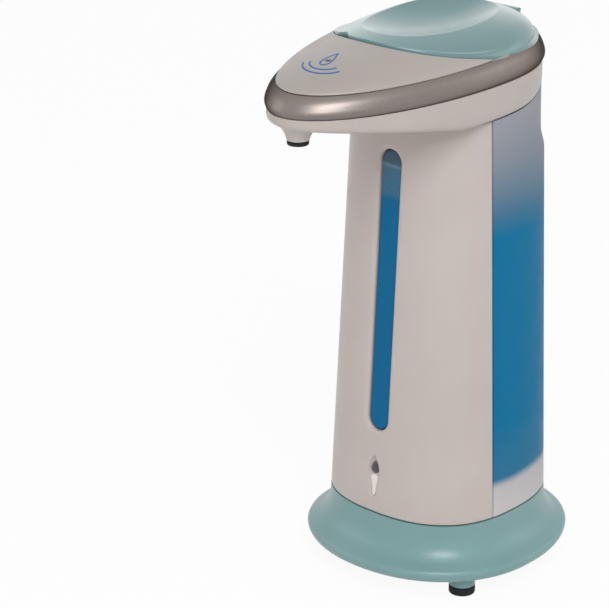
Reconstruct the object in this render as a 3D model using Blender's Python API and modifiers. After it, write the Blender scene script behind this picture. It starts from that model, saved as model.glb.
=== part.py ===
"""Automatic soap dispenser: a leaf-shaped head over a tapered column on a flared, three-footed base.

Metres, +Z up. The nozzle points to -Y. The pieces are placed from the column's axis, and an empty
shifts them so that the origin is under the middle of the whole object.
"""

import math

import bmesh
import bpy
from mathutils import Matrix, Vector

MM = 0.001

# Fits that every piece shares
GAP = 0.3 * MM
BITE = 1.0 * MM
OVERRUN = 6.0 * MM
ROUND_POINTS = 40
SMALL_ROUND_POINTS = 20

# Column: an oval that tapers from its foot to its head
COLUMN_FOOT_HEIGHT = 26.0 * MM
COLUMN_HEAD_HEIGHT = 165.0 * MM
COLUMN_FOOT_HALF_WIDTH = 35.0 * MM
COLUMN_FOOT_FRONT = 32.6 * MM
COLUMN_FOOT_REAR = 39.6 * MM
COLUMN_HEAD_HALF_WIDTH = 30.6 * MM
COLUMN_HEAD_FRONT = 24.6 * MM
COLUMN_HEAD_REAR = 36.5 * MM
COLUMN_FRONT_POWER = 2.43
COLUMN_REAR_POWER = 2.5

# Front casing: the white half of the column, with its sight slot and its sensor eye
CASING_WALL = 2.2 * MM
SEAM_BACK_OFFSET = 8.1 * MM
SLOT_TOP = 157.0 * MM
SLOT_WIDTH = 11.3 * MM
SLOT_REVEAL_WIDTH = 1.0 * MM
SLOT_REVEAL_DEPTH = 0.8 * MM
EYE_TIP_HEIGHT = 46.3 * MM
EYE_LENS_HEIGHT = 5.9 * MM
EYE_HEIGHT = 14.7 * MM
SLOT_OVER_EYE = 8.7 * MM
EYE_WIDTH = 4.2 * MM
EYE_TAIL_WIDTH = 2.0 * MM
EYE_RECESS_DEPTH = 0.9 * MM

# Soap tank: the translucent rear half, with a sight rib that fills the slot and a filler neck
TANK_WALL = 1.8 * MM
TANK_FLOOR_HEIGHT = 36.5 * MM
TANK_CEILING_HEIGHT = 160.5 * MM
TANK_SKIRT_WALL = 2.4 * MM
SHOULDER_LOW = 151.0 * MM
SHOULDER_HIGH = 158.0 * MM
SHOULDER_INSET = 2.6 * MM
SOAP_LEVEL = 135.0 * MM
RIB_SETBACK = 1.3 * MM
NECK_BACK_OFFSET = 11.0 * MM
NECK_RADIUS = 10.8 * MM
NECK_WALL = 1.5 * MM
NECK_LIP = 2.2 * MM
DIP_TUBE_FRONT_OFFSET = 3.0 * MM
DIP_TUBE_RADIUS = 2.0 * MM
DIP_TUBE_BORE = 1.2 * MM
DIP_TUBE_FLOOR_GAP = 3.0 * MM
DIP_TUBE_RISE = 5.0 * MM

# Head: lower shell, silver band and dome share one leaf outline
HEAD_WIDEST_OFFSET = 6.6 * MM
BAND_LOWER_HEIGHT = 181.4 * MM
BAND_LOWER_SLOPE = 0.03
BAND_LOWER_HALF_WIDTH = 32.35 * MM
BAND_LOWER_NOSE = 71.4 * MM
BAND_LOWER_REAR = 42.1 * MM
BAND_LOWER_FRONT_POWER = 1.92
BAND_LOWER_REAR_POWER = 2.35
BAND_UPPER_HEIGHT = 189.9 * MM
BAND_UPPER_SLOPE = 0.05
BAND_UPPER_HALF_WIDTH = 30.3 * MM
BAND_UPPER_NOSE = 67.0 * MM
BAND_UPPER_REAR = 38.6 * MM
BAND_UPPER_FRONT_POWER = 1.95
BAND_UPPER_REAR_POWER = 2.3
BAND_BULGE = 2.0 * MM
BAND_WALL = 2.0 * MM
HULL_DEPTH = 16.6 * MM
HULL_NOSE_DEPTH = 5.8 * MM
HULL_FULL_DEPTH_OFFSET = 22.0 * MM
HULL_DEPTH_POWER = 1.3
HULL_SIDE_SHARE = 0.75
HULL_SIDE_POWER = 30.0
HULL_BELLY_REACH = 0.78
HULL_WALL = 2.0 * MM
DOME_RISE = 11.95 * MM
DOME_FRONT_POWER = 1.485
DOME_REAR_POWER = 1.8
DOME_WALL = 2.0 * MM

# Lid: covers the rear of the dome and has a long shallow dish in its top
LID_HALF_WIDTH = 30.5 * MM
LID_FRONT = 38.3 * MM
LID_REAR = 33.6 * MM
LID_MIDDLE_OFFSET = 2.0 * MM
LID_FRONT_POWER = 2.0
LID_REAR_POWER = 2.45
LID_WALL = 1.8 * MM
LID_BEAD_HEIGHT = 0.4 * MM
LID_BEAD_WIDTH = 2.2 * MM
DISH_HALF_WIDTH = 17.3 * MM
DISH_FRONT = 29.5 * MM
DISH_REAR = 26.0 * MM
DISH_MIDDLE_OFFSET = 4.0 * MM
DISH_POWER = 2.1
DISH_DEPTH = 5.5 * MM
FINGER_NICK_RADIUS = 3.4 * MM
FINGER_NICK_SIDE_OFFSET = 9.5 * MM

# Filler tray under the lid and the hinge behind it
TRAY_WALL = 1.6 * MM
TRAY_FLOOR_HEIGHT = 186.0 * MM
TRAY_FRONT_INSET = 3.4 * MM
TRAY_REAR_POWER = 2.2
TRAY_LID_SPACE = 3.8 * MM
HINGE_RADIUS = 1.9 * MM
HINGE_PIN_RADIUS = 0.8 * MM
HINGE_LIFT = 1.6 * MM
HINGE_KNUCKLE_WIDTH = 8.0 * MM
HINGE_EAR_WIDTH = 3.0 * MM
HINGE_WEB = 1.4 * MM
GASKET_RADIUS = 0.8 * MM

# Nozzle under the head's nose
NOZZLE_REACH = 70.0 * MM
NOZZLE_BOSS_TOP_RADIUS = 6.2 * MM
NOZZLE_BOSS_RADIUS = 3.8 * MM
NOZZLE_BOSS_BOTTOM = 170.3 * MM
NOZZLE_BOSS_HEIGHT = 5.2 * MM
NOZZLE_RING_RADIUS = 3.6 * MM
NOZZLE_RING_HEIGHT = 1.4 * MM
NOZZLE_STEM_RADIUS = 2.1 * MM
NOZZLE_BORE = 1.1 * MM
NOZZLE_STEM_HEIGHT = 4.0 * MM

# Base: a concave flare that ends in a rounded rim, closed by a plate
RIM_HALF_WIDTH = 44.7 * MM
RIM_FRONT = 42.3 * MM
RIM_REAR = 50.2 * MM
RIM_POWER = 2.12
RIM_HEIGHT = 10.8 * MM
BASE_UNDERSIDE = 7.5 * MM
RIM_TURN = 2.6 * MM
SKIRT_WALL = 2.0 * MM
COLLAR_HEIGHT = 4.5 * MM
BASE_PLATE_THICKNESS = 3.0 * MM

# Battery bay: four AAA cells side by side along Y
CELL_RADIUS = 5.25 * MM
CELL_LENGTH = 43.3 * MM
CELL_NUB_RADIUS = 1.9 * MM
CELL_NUB_LENGTH = 1.2 * MM
CELL_SPACING = 10.8 * MM
CELL_COUNT = 4
BAY_MIDDLE_OFFSET = 2.9 * MM
BAY_WALL = 1.5 * MM
CONTACT_THICKNESS = 0.5 * MM
CONTACT_HEIGHT = 8.0 * MM
CONTACT_SPRING_LENGTH = 2.0 * MM
CONTACT_SPRING_RADIUS = 3.0 * MM
DOOR_THICKNESS = 1.4 * MM
DOOR_LAP = 2.2 * MM

# Feet, screws and the slide switch of the underside
FOOT_CIRCLE_RADIUS = 35.2 * MM
FOOT_ANGLES_DEGREES = (-32.0, 90.0, 212.0)
FOOT_RADIUS = 4.6 * MM
FOOT_PAD_THICKNESS = 3.0 * MM
FOOT_STEM_RADIUS = 1.6 * MM
FOOT_STEM_HEIGHT = 3.0 * MM
SCREW_SHANK_RADIUS = 1.1 * MM
SCREW_HEAD_RADIUS = 2.3 * MM
SCREW_HEAD_HEIGHT = 1.3 * MM
SCREW_LENGTH = 7.0 * MM
SCREW_SLOT_WIDTH = 0.6 * MM
BOSS_RADIUS = 2.9 * MM
BASE_BOSS_SIDE_OFFSET = 27.8 * MM
BASE_BOSS_BACK_OFFSET = 20.0 * MM
BASE_BOSS_DOOR_MARGIN = 5.2 * MM
SWITCH_SIDE_OFFSET = 28.3 * MM
SWITCH_TRAVEL = 3.0 * MM
SWITCH_KNOB_LENGTH = 5.0 * MM
SWITCH_KNOB_WIDTH = 2.6 * MM
SWITCH_KNOB_PROUD = 0.8 * MM
SWITCH_SHOE_HEIGHT = 1.6 * MM
SWITCH_WALL = 1.2 * MM
SWITCH_HEIGHT = 4.5 * MM

# Boards, sensor and leads
BOARD_THICKNESS = 1.6 * MM
BOARD_HALF_WIDTH = 13.0 * MM
BOARD_FRONT_OFFSET = 23.6 * MM
BOARD_LENGTH = 44.0 * MM
SENSOR_BOARD_HALF_WIDTH = 9.0 * MM
SENSOR_BOARD_HEIGHT = 24.0 * MM
SENSOR_WINDOW_FLANGE = 1.2 * MM
SENSOR_WINDOW_MARGIN = 2.0 * MM
DIODE_RADIUS = 1.5 * MM
DIODE_SPACING = 3.6 * MM
CHIP_WIDTH = 8.0 * MM
CHIP_LENGTH = 5.0 * MM
CHIP_HEIGHT = 1.5 * MM
CHIP_BACK_OFFSET = 4.0 * MM
CAPACITOR_RADIUS = 2.5 * MM
CAPACITOR_HEIGHT = 6.0 * MM
CAPACITOR_FRONT_OFFSET = 12.0 * MM
LEAD_RADIUS = 0.9 * MM
LEAD_SIDE_OFFSET = 10.0 * MM
LEAD_SLACK = 0.6 * MM

# Motor, gears and pump: every shaft runs along Y
MOTOR_FRONT_OFFSET = 38.0 * MM
MOTOR_LENGTH = 18.0 * MM
MOTOR_HALF_WIDTH = 7.75 * MM
MOTOR_HALF_HEIGHT = 6.0 * MM
MOTOR_SIDE_OFFSET = 4.0 * MM
MOTOR_AXIS_HEIGHT = 178.0 * MM
MOTOR_SHAFT_RADIUS = 1.0 * MM
MOTOR_NOSE_RADIUS = 3.0 * MM
BRACKET_THICKNESS = 1.5 * MM
BRACKET_RISE = 1.2 * MM
BRACKET_SHAFT_MARGIN = 3.0 * MM
BRACKET_FOOT_HEIGHT = 173.4 * MM
BRACKET_FOOT_HALF_WIDTH = 2.5 * MM
BRACKET_SCREW_LEFT = 17.5 * MM
BRACKET_SCREW_RIGHT = 14.6 * MM
BRACKET_SCREW_BITE = 2.5 * MM
GEAR_MODULE = 0.75 * MM
PINION_TEETH = 8
REDUCTION_TEETH = 20
GEAR_PRESSURE_ANGLE = math.radians(27.0)
GEAR_ADDENDUM_SHARE = 0.8
GEAR_ROOT_SHARE = 1.05
GEAR_BACKLASH = 0.22 * MM
GEAR_CENTRE_PLAY = 0.1 * MM
GEAR_WIDTH = 3.2 * MM
GEAR_RISE_DEGREES = 25.0
PUMP_MODULE = 1.0 * MM
PUMP_TEETH = 9
PUMP_GEAR_WIDTH = 6.0 * MM
PUMP_WALL = 1.7 * MM
PUMP_COVER_THICKNESS = 1.5 * MM
PUMP_SHAFT_RADIUS = 1.5 * MM
PUMP_PORT_RADIUS = 2.2 * MM
PUMP_PORT_HEIGHT = 2.5 * MM
PUMP_PORT_OFFSET = 4.0 * MM
PUMP_LUG_RADIUS = 2.4 * MM
PUMP_SCREW_RADIUS = 0.9 * MM
HOSE_RADIUS = 1.6 * MM
STATUS_LIGHT_OFFSET = 55.5 * MM
STATUS_LIGHT_RADIUS = 1.2 * MM
HEAD_SCREW_SIDE_OFFSET = 17.5 * MM
HEAD_SCREW_BACK_OFFSET = 4.0 * MM
HEAD_SCREW_LENGTH = 5.0 * MM

# Places that follow from the sizes above
EYE_WIDEST_HEIGHT = EYE_TIP_HEIGHT - EYE_LENS_HEIGHT
EYE_BOTTOM_HEIGHT = EYE_TIP_HEIGHT - EYE_HEIGHT
SLOT_BOTTOM = EYE_TIP_HEIGHT + SLOT_OVER_EYE
SEAM_Y = -SEAM_BACK_OFFSET
RIM_WIDEST_Y = 0.0
DISH_MIDDLE_Y = -DISH_MIDDLE_OFFSET
LID_MIDDLE_Y = -LID_MIDDLE_OFFSET
HEAD_WIDEST_Y = -HEAD_WIDEST_OFFSET


def mix(first, last, share):
    return first + (last - first) * share


# Scene helpers

def fresh_scene():
    for old in list(bpy.data.objects):
        bpy.data.objects.remove(old, do_unlink=True)
    for name in ("soap_dispenser", "cutters"):
        bpy.context.scene.collection.children.link(bpy.data.collections.new(name))
    centre = bpy.data.objects.new("dispenser_centre", None)
    nose = min(y for ring in band_rings() for _, y, _ in ring)
    centre.location = (0, -(nose + RIM_REAR) / 2, 0)
    bpy.data.collections["soap_dispenser"].objects.link(centre)
    return centre


def material(name, colour, roughness, metallic=0.0, transmission=0.0):
    made = bpy.data.materials.new(name)
    made.use_nodes = True
    made.diffuse_color = (*colour, 1.0)
    shader = made.node_tree.nodes["Principled BSDF"]
    shader.inputs["Base Color"].default_value = (*colour, 1.0)
    shader.inputs["Roughness"].default_value = roughness
    shader.inputs["Metallic"].default_value = metallic
    shader.inputs["Transmission Weight"].default_value = transmission
    return made


def add(name, mesh, finish=None):
    """Links a mesh under the centre empty: a finish makes it a part, and none makes it a cutter."""
    obj = bpy.data.objects.new(name, mesh)
    obj.parent = bpy.data.objects["dispenser_centre"]
    if finish is None:
        bpy.data.collections["cutters"].objects.link(obj)
        obj.hide_render = True
        obj.display_type = "WIRE"
        return obj
    bpy.data.collections["soap_dispenser"].objects.link(obj)
    mesh.materials.append(MATERIALS[finish])
    mesh.shade_smooth()
    mesh.set_sharp_from_angle(angle=math.radians(35))
    return obj


def mesh_from(name, bm):
    mesh = bpy.data.meshes.new(name)
    bm.to_mesh(mesh)
    bm.free()
    return mesh


def boolean(obj, other, operation):
    step = obj.modifiers.new(operation.lower() + "_" + other.name, "BOOLEAN")
    step.operation = operation
    step.object = other
    return obj


def cut(obj, *cutters):
    for cutter in cutters:
        boolean(obj, cutter, "DIFFERENCE")
    return obj


def join(obj, *others):
    for other in others:
        boolean(obj, other, "UNION")
    return obj


def solidify(obj, thickness):
    wall = obj.modifiers.new("wall", "SOLIDIFY")
    wall.thickness = thickness
    wall.offset = -1.0
    wall.use_even_offset = True
    return obj


def bevel(obj, width, segments=2):
    edge = obj.modifiers.new("rounded_edges", "BEVEL")
    edge.width = width
    edge.segments = segments
    edge.limit_method = "ANGLE"
    edge.angle_limit = math.radians(50)
    return obj


def place(obj, point):
    """Moves an object's origin to a point and keeps its shape where it is."""
    obj.data.transform(Matrix.Translation(-Vector(point)))
    obj.location = point
    return obj


# Shape helpers

def box(name, low, high, finish=None):
    bm = bmesh.new()
    bmesh.ops.create_cube(bm, size=1.0)
    size = Vector(high) - Vector(low)
    middle = (Vector(high) + Vector(low)) / 2
    bmesh.ops.transform(bm, matrix=Matrix.Translation(middle) @ Matrix.Diagonal((*size, 1)), verts=bm.verts)
    return add(name, mesh_from(name, bm), finish)


def rod(name, centre, radius, length, axis="Z", finish=None, end_radius=None, points=SMALL_ROUND_POINTS):
    """A cylinder, or a cone where end_radius is given, centred on a point and along X, Y or Z."""
    bm = bmesh.new()
    last = radius if end_radius is None else end_radius
    bmesh.ops.create_cone(bm, cap_ends=True, segments=points, radius1=radius, radius2=last, depth=length)
    turn = {"X": (0, 1, 0), "Y": (-1, 0, 0), "Z": (0, 0, 1)}[axis]
    angle = 0 if axis == "Z" else math.pi / 2
    matrix = Matrix.Translation(centre) @ Matrix.Rotation(angle, 4, turn)
    bmesh.ops.transform(bm, matrix=matrix, verts=bm.verts)
    return add(name, mesh_from(name, bm), finish)


def turned(name, profile, finish, steps=SMALL_ROUND_POINTS):
    """A closed or axis-to-axis profile of (radius, height) points, turned about Z."""
    bm = bmesh.new()
    points = [bm.verts.new((radius, 0, height)) for radius, height in profile]
    for first, second in zip(points, points[1:]):
        bm.edges.new((first, second))
    if profile[0][0] > 0:
        bm.edges.new((points[-1], points[0]))
    obj = add(name, mesh_from(name, bm), finish)
    screw = obj.modifiers.new("turn", "SCREW")
    screw.steps = steps
    screw.render_steps = steps
    screw.use_merge_vertices = True
    screw.merge_threshold = 0.01 * MM
    return obj


def oval(half_width, front, rear, middle_y, front_power, rear_power, points=ROUND_POINTS):
    """Two half superellipses that meet at their widest place, as (x, y) points, anticlockwise."""
    outline = []
    for index in range(points):
        angle = math.tau * index / points
        across, along = math.cos(angle), math.sin(angle)
        reach, power = (rear, rear_power) if along >= 0 else (front, front_power)
        x = half_width * math.copysign(abs(across) ** (2 / power), across)
        y = reach * math.copysign(abs(along) ** (2 / power), along)
        outline.append((x, middle_y + y))
    return outline


def stadium(width, low, high, points=SMALL_ROUND_POINTS):
    """An upright slot with round ends, as (x, z) points."""
    radius = width / 2
    outline = []
    for index in range(points + 2):
        upper = index <= points // 2
        angle = math.pi * (index if upper else index - 1) / (points // 2)
        centre = high - radius if upper else low + radius
        outline.append((radius * math.cos(angle), centre + radius * math.sin(angle)))
    return outline


def loft(name, rings, finish=None, close_first=False, close_last=False):
    """Faces between rings of equally many points: the sections differ in outline, so they are bridged."""
    bm = bmesh.new()
    rows = [[bm.verts.new(point) for point in ring] for ring in rings]
    count = len(rows[0])
    for lower, upper in zip(rows, rows[1:]):
        for index in range(count):
            after = (index + 1) % count
            bm.faces.new((lower[index], lower[after], upper[after], upper[index]))
    if close_first:
        bm.faces.new(rows[0][::-1])
    if close_last:
        bm.faces.new(rows[-1])
    if close_first and close_last:
        bmesh.ops.recalc_face_normals(bm, faces=bm.faces)
    return add(name, mesh_from(name, bm), finish)


def slab(name, outline, low, high, finish=None):
    """A flat outline of (x, y) points raised from one height to another."""
    bm = bmesh.new()
    face = bm.faces.new([bm.verts.new((x, y, low)) for x, y in outline])
    raised = bmesh.ops.extrude_face_region(bm, geom=[face])
    top = [item for item in raised["geom"] if isinstance(item, bmesh.types.BMVert)]
    bmesh.ops.translate(bm, vec=(0, 0, high - low), verts=top)
    bmesh.ops.recalc_face_normals(bm, faces=bm.faces)
    return add(name, mesh_from(name, bm), finish)


def upright_slab(name, outline, front, back, finish=None):
    """A flat outline of (x, z) points carried from one y to another, either of which may be a function."""
    def at(limit, height):
        return limit(height) if callable(limit) else limit
    rings = [[(x, at(limit, z), z) for x, z in outline] for limit in (back, front)]
    return loft(name, rings, finish, True, True)


def tube(name, points, radius, finish, sides=2):
    """A bent tube through a few points, as a mesh with welded ends."""
    curve = bpy.data.curves.new(name, "CURVE")
    curve.dimensions = "3D"
    curve.bevel_depth = radius
    curve.bevel_resolution = sides
    curve.use_fill_caps = True
    spline = curve.splines.new("POLY")
    route = smooth_route(points)
    spline.points.add(len(route) - 1)
    for place_on, point in zip(spline.points, route):
        place_on.co = (*point, 1)
    guide = bpy.data.objects.new(name + "_route", curve)
    bpy.data.collections["cutters"].objects.link(guide)
    evaluated = guide.evaluated_get(bpy.context.evaluated_depsgraph_get())
    bm = bmesh.new()
    bm.from_mesh(bpy.data.meshes.new_from_object(evaluated))
    bmesh.ops.remove_doubles(bm, verts=bm.verts, dist=0.01 * MM)
    bmesh.ops.recalc_face_normals(bm, faces=bm.faces)
    bpy.data.objects.remove(guide, do_unlink=True)
    return add(name, mesh_from(name, bm), finish)


def smooth_route(points, steps=4):
    """Catmull-Rom points through the hand-chosen ones."""
    known = [Vector(point) for point in points]
    ends = [2 * known[0] - known[1], *known, 2 * known[-1] - known[-2]]
    route = []
    for before, start, finish, after in zip(ends, ends[1:], ends[2:], ends[3:]):
        for step in range(steps):
            t = step / steps
            route.append(
                0.5 * (2 * start + (finish - before) * t
                       + (2 * before - 5 * start + 4 * finish - after) * t ** 2
                       + (3 * start - before - 3 * finish + after) * t ** 3)
            )
    return [*route, known[-1]]


# Sections that several pieces share

def column_section(height, inset=0.0, rear_inset=0.0):
    share = (height - COLUMN_FOOT_HEIGHT) / (COLUMN_HEAD_HEIGHT - COLUMN_FOOT_HEIGHT)
    half_width = mix(COLUMN_FOOT_HALF_WIDTH, COLUMN_HEAD_HALF_WIDTH, share) - inset
    front = mix(COLUMN_FOOT_FRONT, COLUMN_HEAD_FRONT, share) - inset
    rear = mix(COLUMN_FOOT_REAR, COLUMN_HEAD_REAR, share) - inset - rear_inset
    outline = oval(half_width, front, rear, 0, COLUMN_FRONT_POWER, COLUMN_REAR_POWER)
    return [(x, y, height) for x, y in outline]


def column_front(height):
    share = (height - COLUMN_FOOT_HEIGHT) / (COLUMN_HEAD_HEIGHT - COLUMN_FOOT_HEIGHT)
    return -mix(COLUMN_FOOT_FRONT, COLUMN_HEAD_FRONT, share)


def lower_edge(y):
    return BAND_LOWER_HEIGHT + BAND_LOWER_SLOPE * y


def upper_edge(y):
    return BAND_UPPER_HEIGHT + BAND_UPPER_SLOPE * y


def lower_leaf(inset=0.0, scale=1.0):
    return oval(
        (BAND_LOWER_HALF_WIDTH - inset) * scale, (BAND_LOWER_NOSE - inset) * scale,
        (BAND_LOWER_REAR - inset) * scale, HEAD_WIDEST_Y, BAND_LOWER_FRONT_POWER, BAND_LOWER_REAR_POWER,
    )


def upper_leaf(inset=0.0, scale=1.0):
    return oval(
        (BAND_UPPER_HALF_WIDTH - inset) * scale, (BAND_UPPER_NOSE - inset) * scale,
        (BAND_UPPER_REAR - inset) * scale, HEAD_WIDEST_Y, BAND_UPPER_FRONT_POWER, BAND_UPPER_REAR_POWER,
    )


def hull_depth(y):
    """The lower shell is shallow at the nose and deepens evenly until it reaches the column."""
    nose_y = HEAD_WIDEST_Y - BAND_LOWER_NOSE
    share = (y - nose_y) / (-HULL_FULL_DEPTH_OFFSET - nose_y)
    return mix(HULL_NOSE_DEPTH, HULL_DEPTH, min(max(share, 0.0), 1.0) ** HULL_DEPTH_POWER)


def hull_section(scale):
    """Share of the depth at a share of the leaf's reach: upright sides, a flat shelf and a rounded belly."""
    side = HULL_SIDE_SHARE * max(1 - scale ** HULL_SIDE_POWER, 0.0) ** 0.194
    belly = (1 - HULL_SIDE_SHARE) * max(1 - (scale / HULL_BELLY_REACH) ** 2.6, 0.0) ** 2.2
    return side + belly


def hull_bottom(x, y):
    """Height of the lower shell's outside over a point."""
    ahead = y < HEAD_WIDEST_Y
    reach = BAND_LOWER_NOSE if ahead else BAND_LOWER_REAR
    power = BAND_LOWER_FRONT_POWER if ahead else BAND_LOWER_REAR_POWER
    out = (abs(x / BAND_LOWER_HALF_WIDTH) ** power + abs((y - HEAD_WIDEST_Y) / reach) ** power) ** (1 / power)
    return lower_edge(y) - hull_section(min(out, 1.0)) * hull_depth(y)


def hull_rings(outset=0.0):
    rings = []
    for scale in HULL_SCALES:
        rings.append([
            (x, y, lower_edge(y) - hull_section(scale) * hull_depth(y) - outset) for x, y in lower_leaf(-outset, scale)
        ])
    return rings


HULL_SCALES = (0.12, 0.3, 0.46, 0.62, 0.78, 0.9, 0.95, 0.975, 0.99, 0.998, 1.0)


def dome_height(x, y):
    """Height of the head's domed top over a point, from how far out it lies in the leaf."""
    ahead = y < HEAD_WIDEST_Y
    reach = BAND_UPPER_NOSE if ahead else BAND_UPPER_REAR
    power = BAND_UPPER_FRONT_POWER if ahead else BAND_UPPER_REAR_POWER
    out = (abs(x / BAND_UPPER_HALF_WIDTH) ** power + abs((y - HEAD_WIDEST_Y) / reach) ** power) ** (1 / power)
    back = min(max((y - HEAD_WIDEST_Y) / BAND_UPPER_REAR, 0.0), 1.0)
    fullness = mix(DOME_FRONT_POWER, DOME_REAR_POWER, back * back * (3 - 2 * back))
    return upper_edge(y) + DOME_RISE * max(1 - out ** fullness, 0.0) ** (1 / fullness)


def lid_outline(inset=0.0):
    return oval(
        LID_HALF_WIDTH - inset, LID_FRONT - inset, LID_REAR - inset, LID_MIDDLE_Y,
        LID_FRONT_POWER, LID_REAR_POWER,
    )


def tray_reaches():
    """Half-width and rear reach that keep the filler tray inside the lower shell's spigot."""
    inset = BAND_WALL + HULL_WALL + 4 * GAP
    rear_y = HEAD_WIDEST_Y + BAND_UPPER_REAR - inset
    return BAND_UPPER_HALF_WIDTH - inset, rear_y - LID_MIDDLE_Y


def hinge_axis():
    y = LID_MIDDLE_Y + LID_REAR
    return Vector((0, y, upper_edge(y) + HINGE_LIFT))


# Base

FLARE_REACH_SHARES = (0.0, 0.035, 0.12, 0.27, 0.50, 0.76, 0.93, 1.0)
FLARE_DROP_SHARES = (0.0, 0.24, 0.46, 0.64, 0.78, 0.87, 0.93, 1.0)


def base_section(reach_share, height, inset=0.0):
    half_width = mix(COLUMN_FOOT_HALF_WIDTH, RIM_HALF_WIDTH, reach_share) - inset
    front = mix(COLUMN_FOOT_FRONT, RIM_FRONT, reach_share) - inset
    rear = mix(COLUMN_FOOT_REAR, RIM_REAR, reach_share) - inset
    front_power = mix(COLUMN_FRONT_POWER, RIM_POWER, reach_share)
    rear_power = mix(COLUMN_REAR_POWER, RIM_POWER, reach_share)
    outline = oval(half_width, front, rear, RIM_WIDEST_Y, front_power, rear_power)
    return [(x, y, height) for x, y in outline]


def base_skirt():
    top = COLUMN_FOOT_HEIGHT - 1.4 * GAP
    collar_inset = TANK_SKIRT_WALL + 2 * GAP
    rings = [
        base_section(1.0, BASE_UNDERSIDE, RIM_TURN + SKIRT_WALL),
        base_section(1.0, BASE_UNDERSIDE, RIM_TURN),
        base_section(1.0, mix(BASE_UNDERSIDE, RIM_HEIGHT, 0.3), RIM_TURN / 4),
    ]
    for reach, drop in zip(FLARE_REACH_SHARES[::-1], FLARE_DROP_SHARES[::-1]):
        rings.append(base_section(reach, mix(top, RIM_HEIGHT, drop)))
    rings.append(base_section(0.0, top, collar_inset))
    rings.append(base_section(0.0, top + COLLAR_HEIGHT, collar_inset))
    skirt = solidify(loft("base_skirt", rings, "teal"), SKIRT_WALL)
    plate_top = BASE_UNDERSIDE + BASE_PLATE_THICKNESS
    for number, (x, y) in enumerate(base_boss_places(), 1):
        low = plate_top + GAP
        high = top - SKIRT_WALL / 2
        middle = (x, y, (low + high) / 2)
        join(skirt, rod(f"skirt_boss_{number}", middle, BOSS_RADIUS, high - low))
    for number, (x, y) in enumerate(base_boss_places(), 1):
        depth = SCREW_LENGTH - BASE_PLATE_THICKNESS + 2 * GAP
        middle = (x, y, plate_top + depth / 2)
        cut(skirt, rod(f"skirt_boss_hole_{number}", middle, SCREW_SHANK_RADIUS + GAP, depth))
    return skirt


def base_boss_places():
    side, back = BASE_BOSS_SIDE_OFFSET, BASE_BOSS_BACK_OFFSET
    _, door_front, _ = door_limits()
    return (side, back), (-side, back), (0, door_front - BASE_BOSS_DOOR_MARGIN)


def foot_places():
    for degrees in FOOT_ANGLES_DEGREES:
        angle = math.radians(degrees)
        yield FOOT_CIRCLE_RADIUS * math.cos(angle), FOOT_CIRCLE_RADIUS * math.sin(angle)


def bay_limits():
    """Inside corners of the battery bay, and the height of its ceiling."""
    half_width = CELL_SPACING * (CELL_COUNT - 1) / 2 + CELL_RADIUS + GAP
    cell = CELL_LENGTH + CELL_NUB_LENGTH
    half_length = (cell + 2 * CONTACT_THICKNESS + CONTACT_SPRING_LENGTH + 4 * GAP) / 2
    ceiling = cell_axis_height() + CELL_RADIUS + GAP
    return half_width, BAY_MIDDLE_OFFSET - half_length, BAY_MIDDLE_OFFSET + half_length, ceiling


def cell_axis_height():
    return BASE_UNDERSIDE + DOOR_THICKNESS + GAP + CELL_RADIUS


def door_limits(gap=0.0):
    half_width, front, rear, _ = bay_limits()
    lap = DOOR_LAP - gap
    return half_width + lap, front - lap, rear + lap


def base_plate():
    top = BASE_UNDERSIDE + BASE_PLATE_THICKNESS
    outline = [(x, y) for x, y, _ in base_section(1.0, BASE_UNDERSIDE, RIM_TURN + SKIRT_WALL + 2 * GAP)]
    plate = slab("base_plate", outline, BASE_UNDERSIDE, top, "teal")
    half_width, front, rear, ceiling = bay_limits()
    bay = box(
        "bay_walls", (-half_width - BAY_WALL, front - BAY_WALL, top - BITE),
        (half_width + BAY_WALL, rear + BAY_WALL, ceiling + BAY_WALL),
    )
    join(plate, bay)
    for number, (x, y) in enumerate(foot_places(), 1):
        low, high = FOOT_PAD_THICKNESS + GAP, BASE_UNDERSIDE + BITE
        join(plate, rod(f"foot_post_{number}", (x, y, (low + high) / 2), FOOT_RADIUS, high - low))
    space = box("bay_space", (-half_width, front, BASE_UNDERSIDE - OVERRUN), (half_width, rear, ceiling))
    door_half_width, door_front, door_rear = door_limits()
    seat = box(
        "door_seat", (-door_half_width, door_front, BASE_UNDERSIDE - OVERRUN),
        (door_half_width, door_rear, BASE_UNDERSIDE + DOOR_THICKNESS + GAP),
    )
    cut(plate, space, seat)
    for number, (x, y) in enumerate(foot_places(), 1):
        depth = FOOT_STEM_HEIGHT + GAP
        middle = (x, y, FOOT_PAD_THICKNESS + depth / 2)
        cut(plate, rod(f"foot_hole_{number}", middle, FOOT_STEM_RADIUS + GAP, depth))
    for number, (x, y) in enumerate(base_boss_places(), 1):
        radius = SCREW_SHANK_RADIUS + GAP
        cut(plate, rod(f"plate_hole_{number}", (x, y, top), radius, 2 * BASE_PLATE_THICKNESS + OVERRUN))
        head = SCREW_HEAD_RADIUS + GAP
        middle = (x, y, BASE_UNDERSIDE + (SCREW_HEAD_HEIGHT + GAP - OVERRUN) / 2)
        cut(plate, rod(f"plate_sink_{number}", middle, head, SCREW_HEAD_HEIGHT + GAP + OVERRUN))
    half_slot = (SWITCH_KNOB_LENGTH + SWITCH_TRAVEL) / 2 + GAP
    half_width = SWITCH_KNOB_WIDTH / 2 + GAP
    slot = box(
        "switch_slot", (-SWITCH_SIDE_OFFSET - half_width, -half_slot, BASE_UNDERSIDE - OVERRUN),
        (-SWITCH_SIDE_OFFSET + half_width, half_slot, top + OVERRUN),
    )
    return cut(plate, slot)


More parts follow.
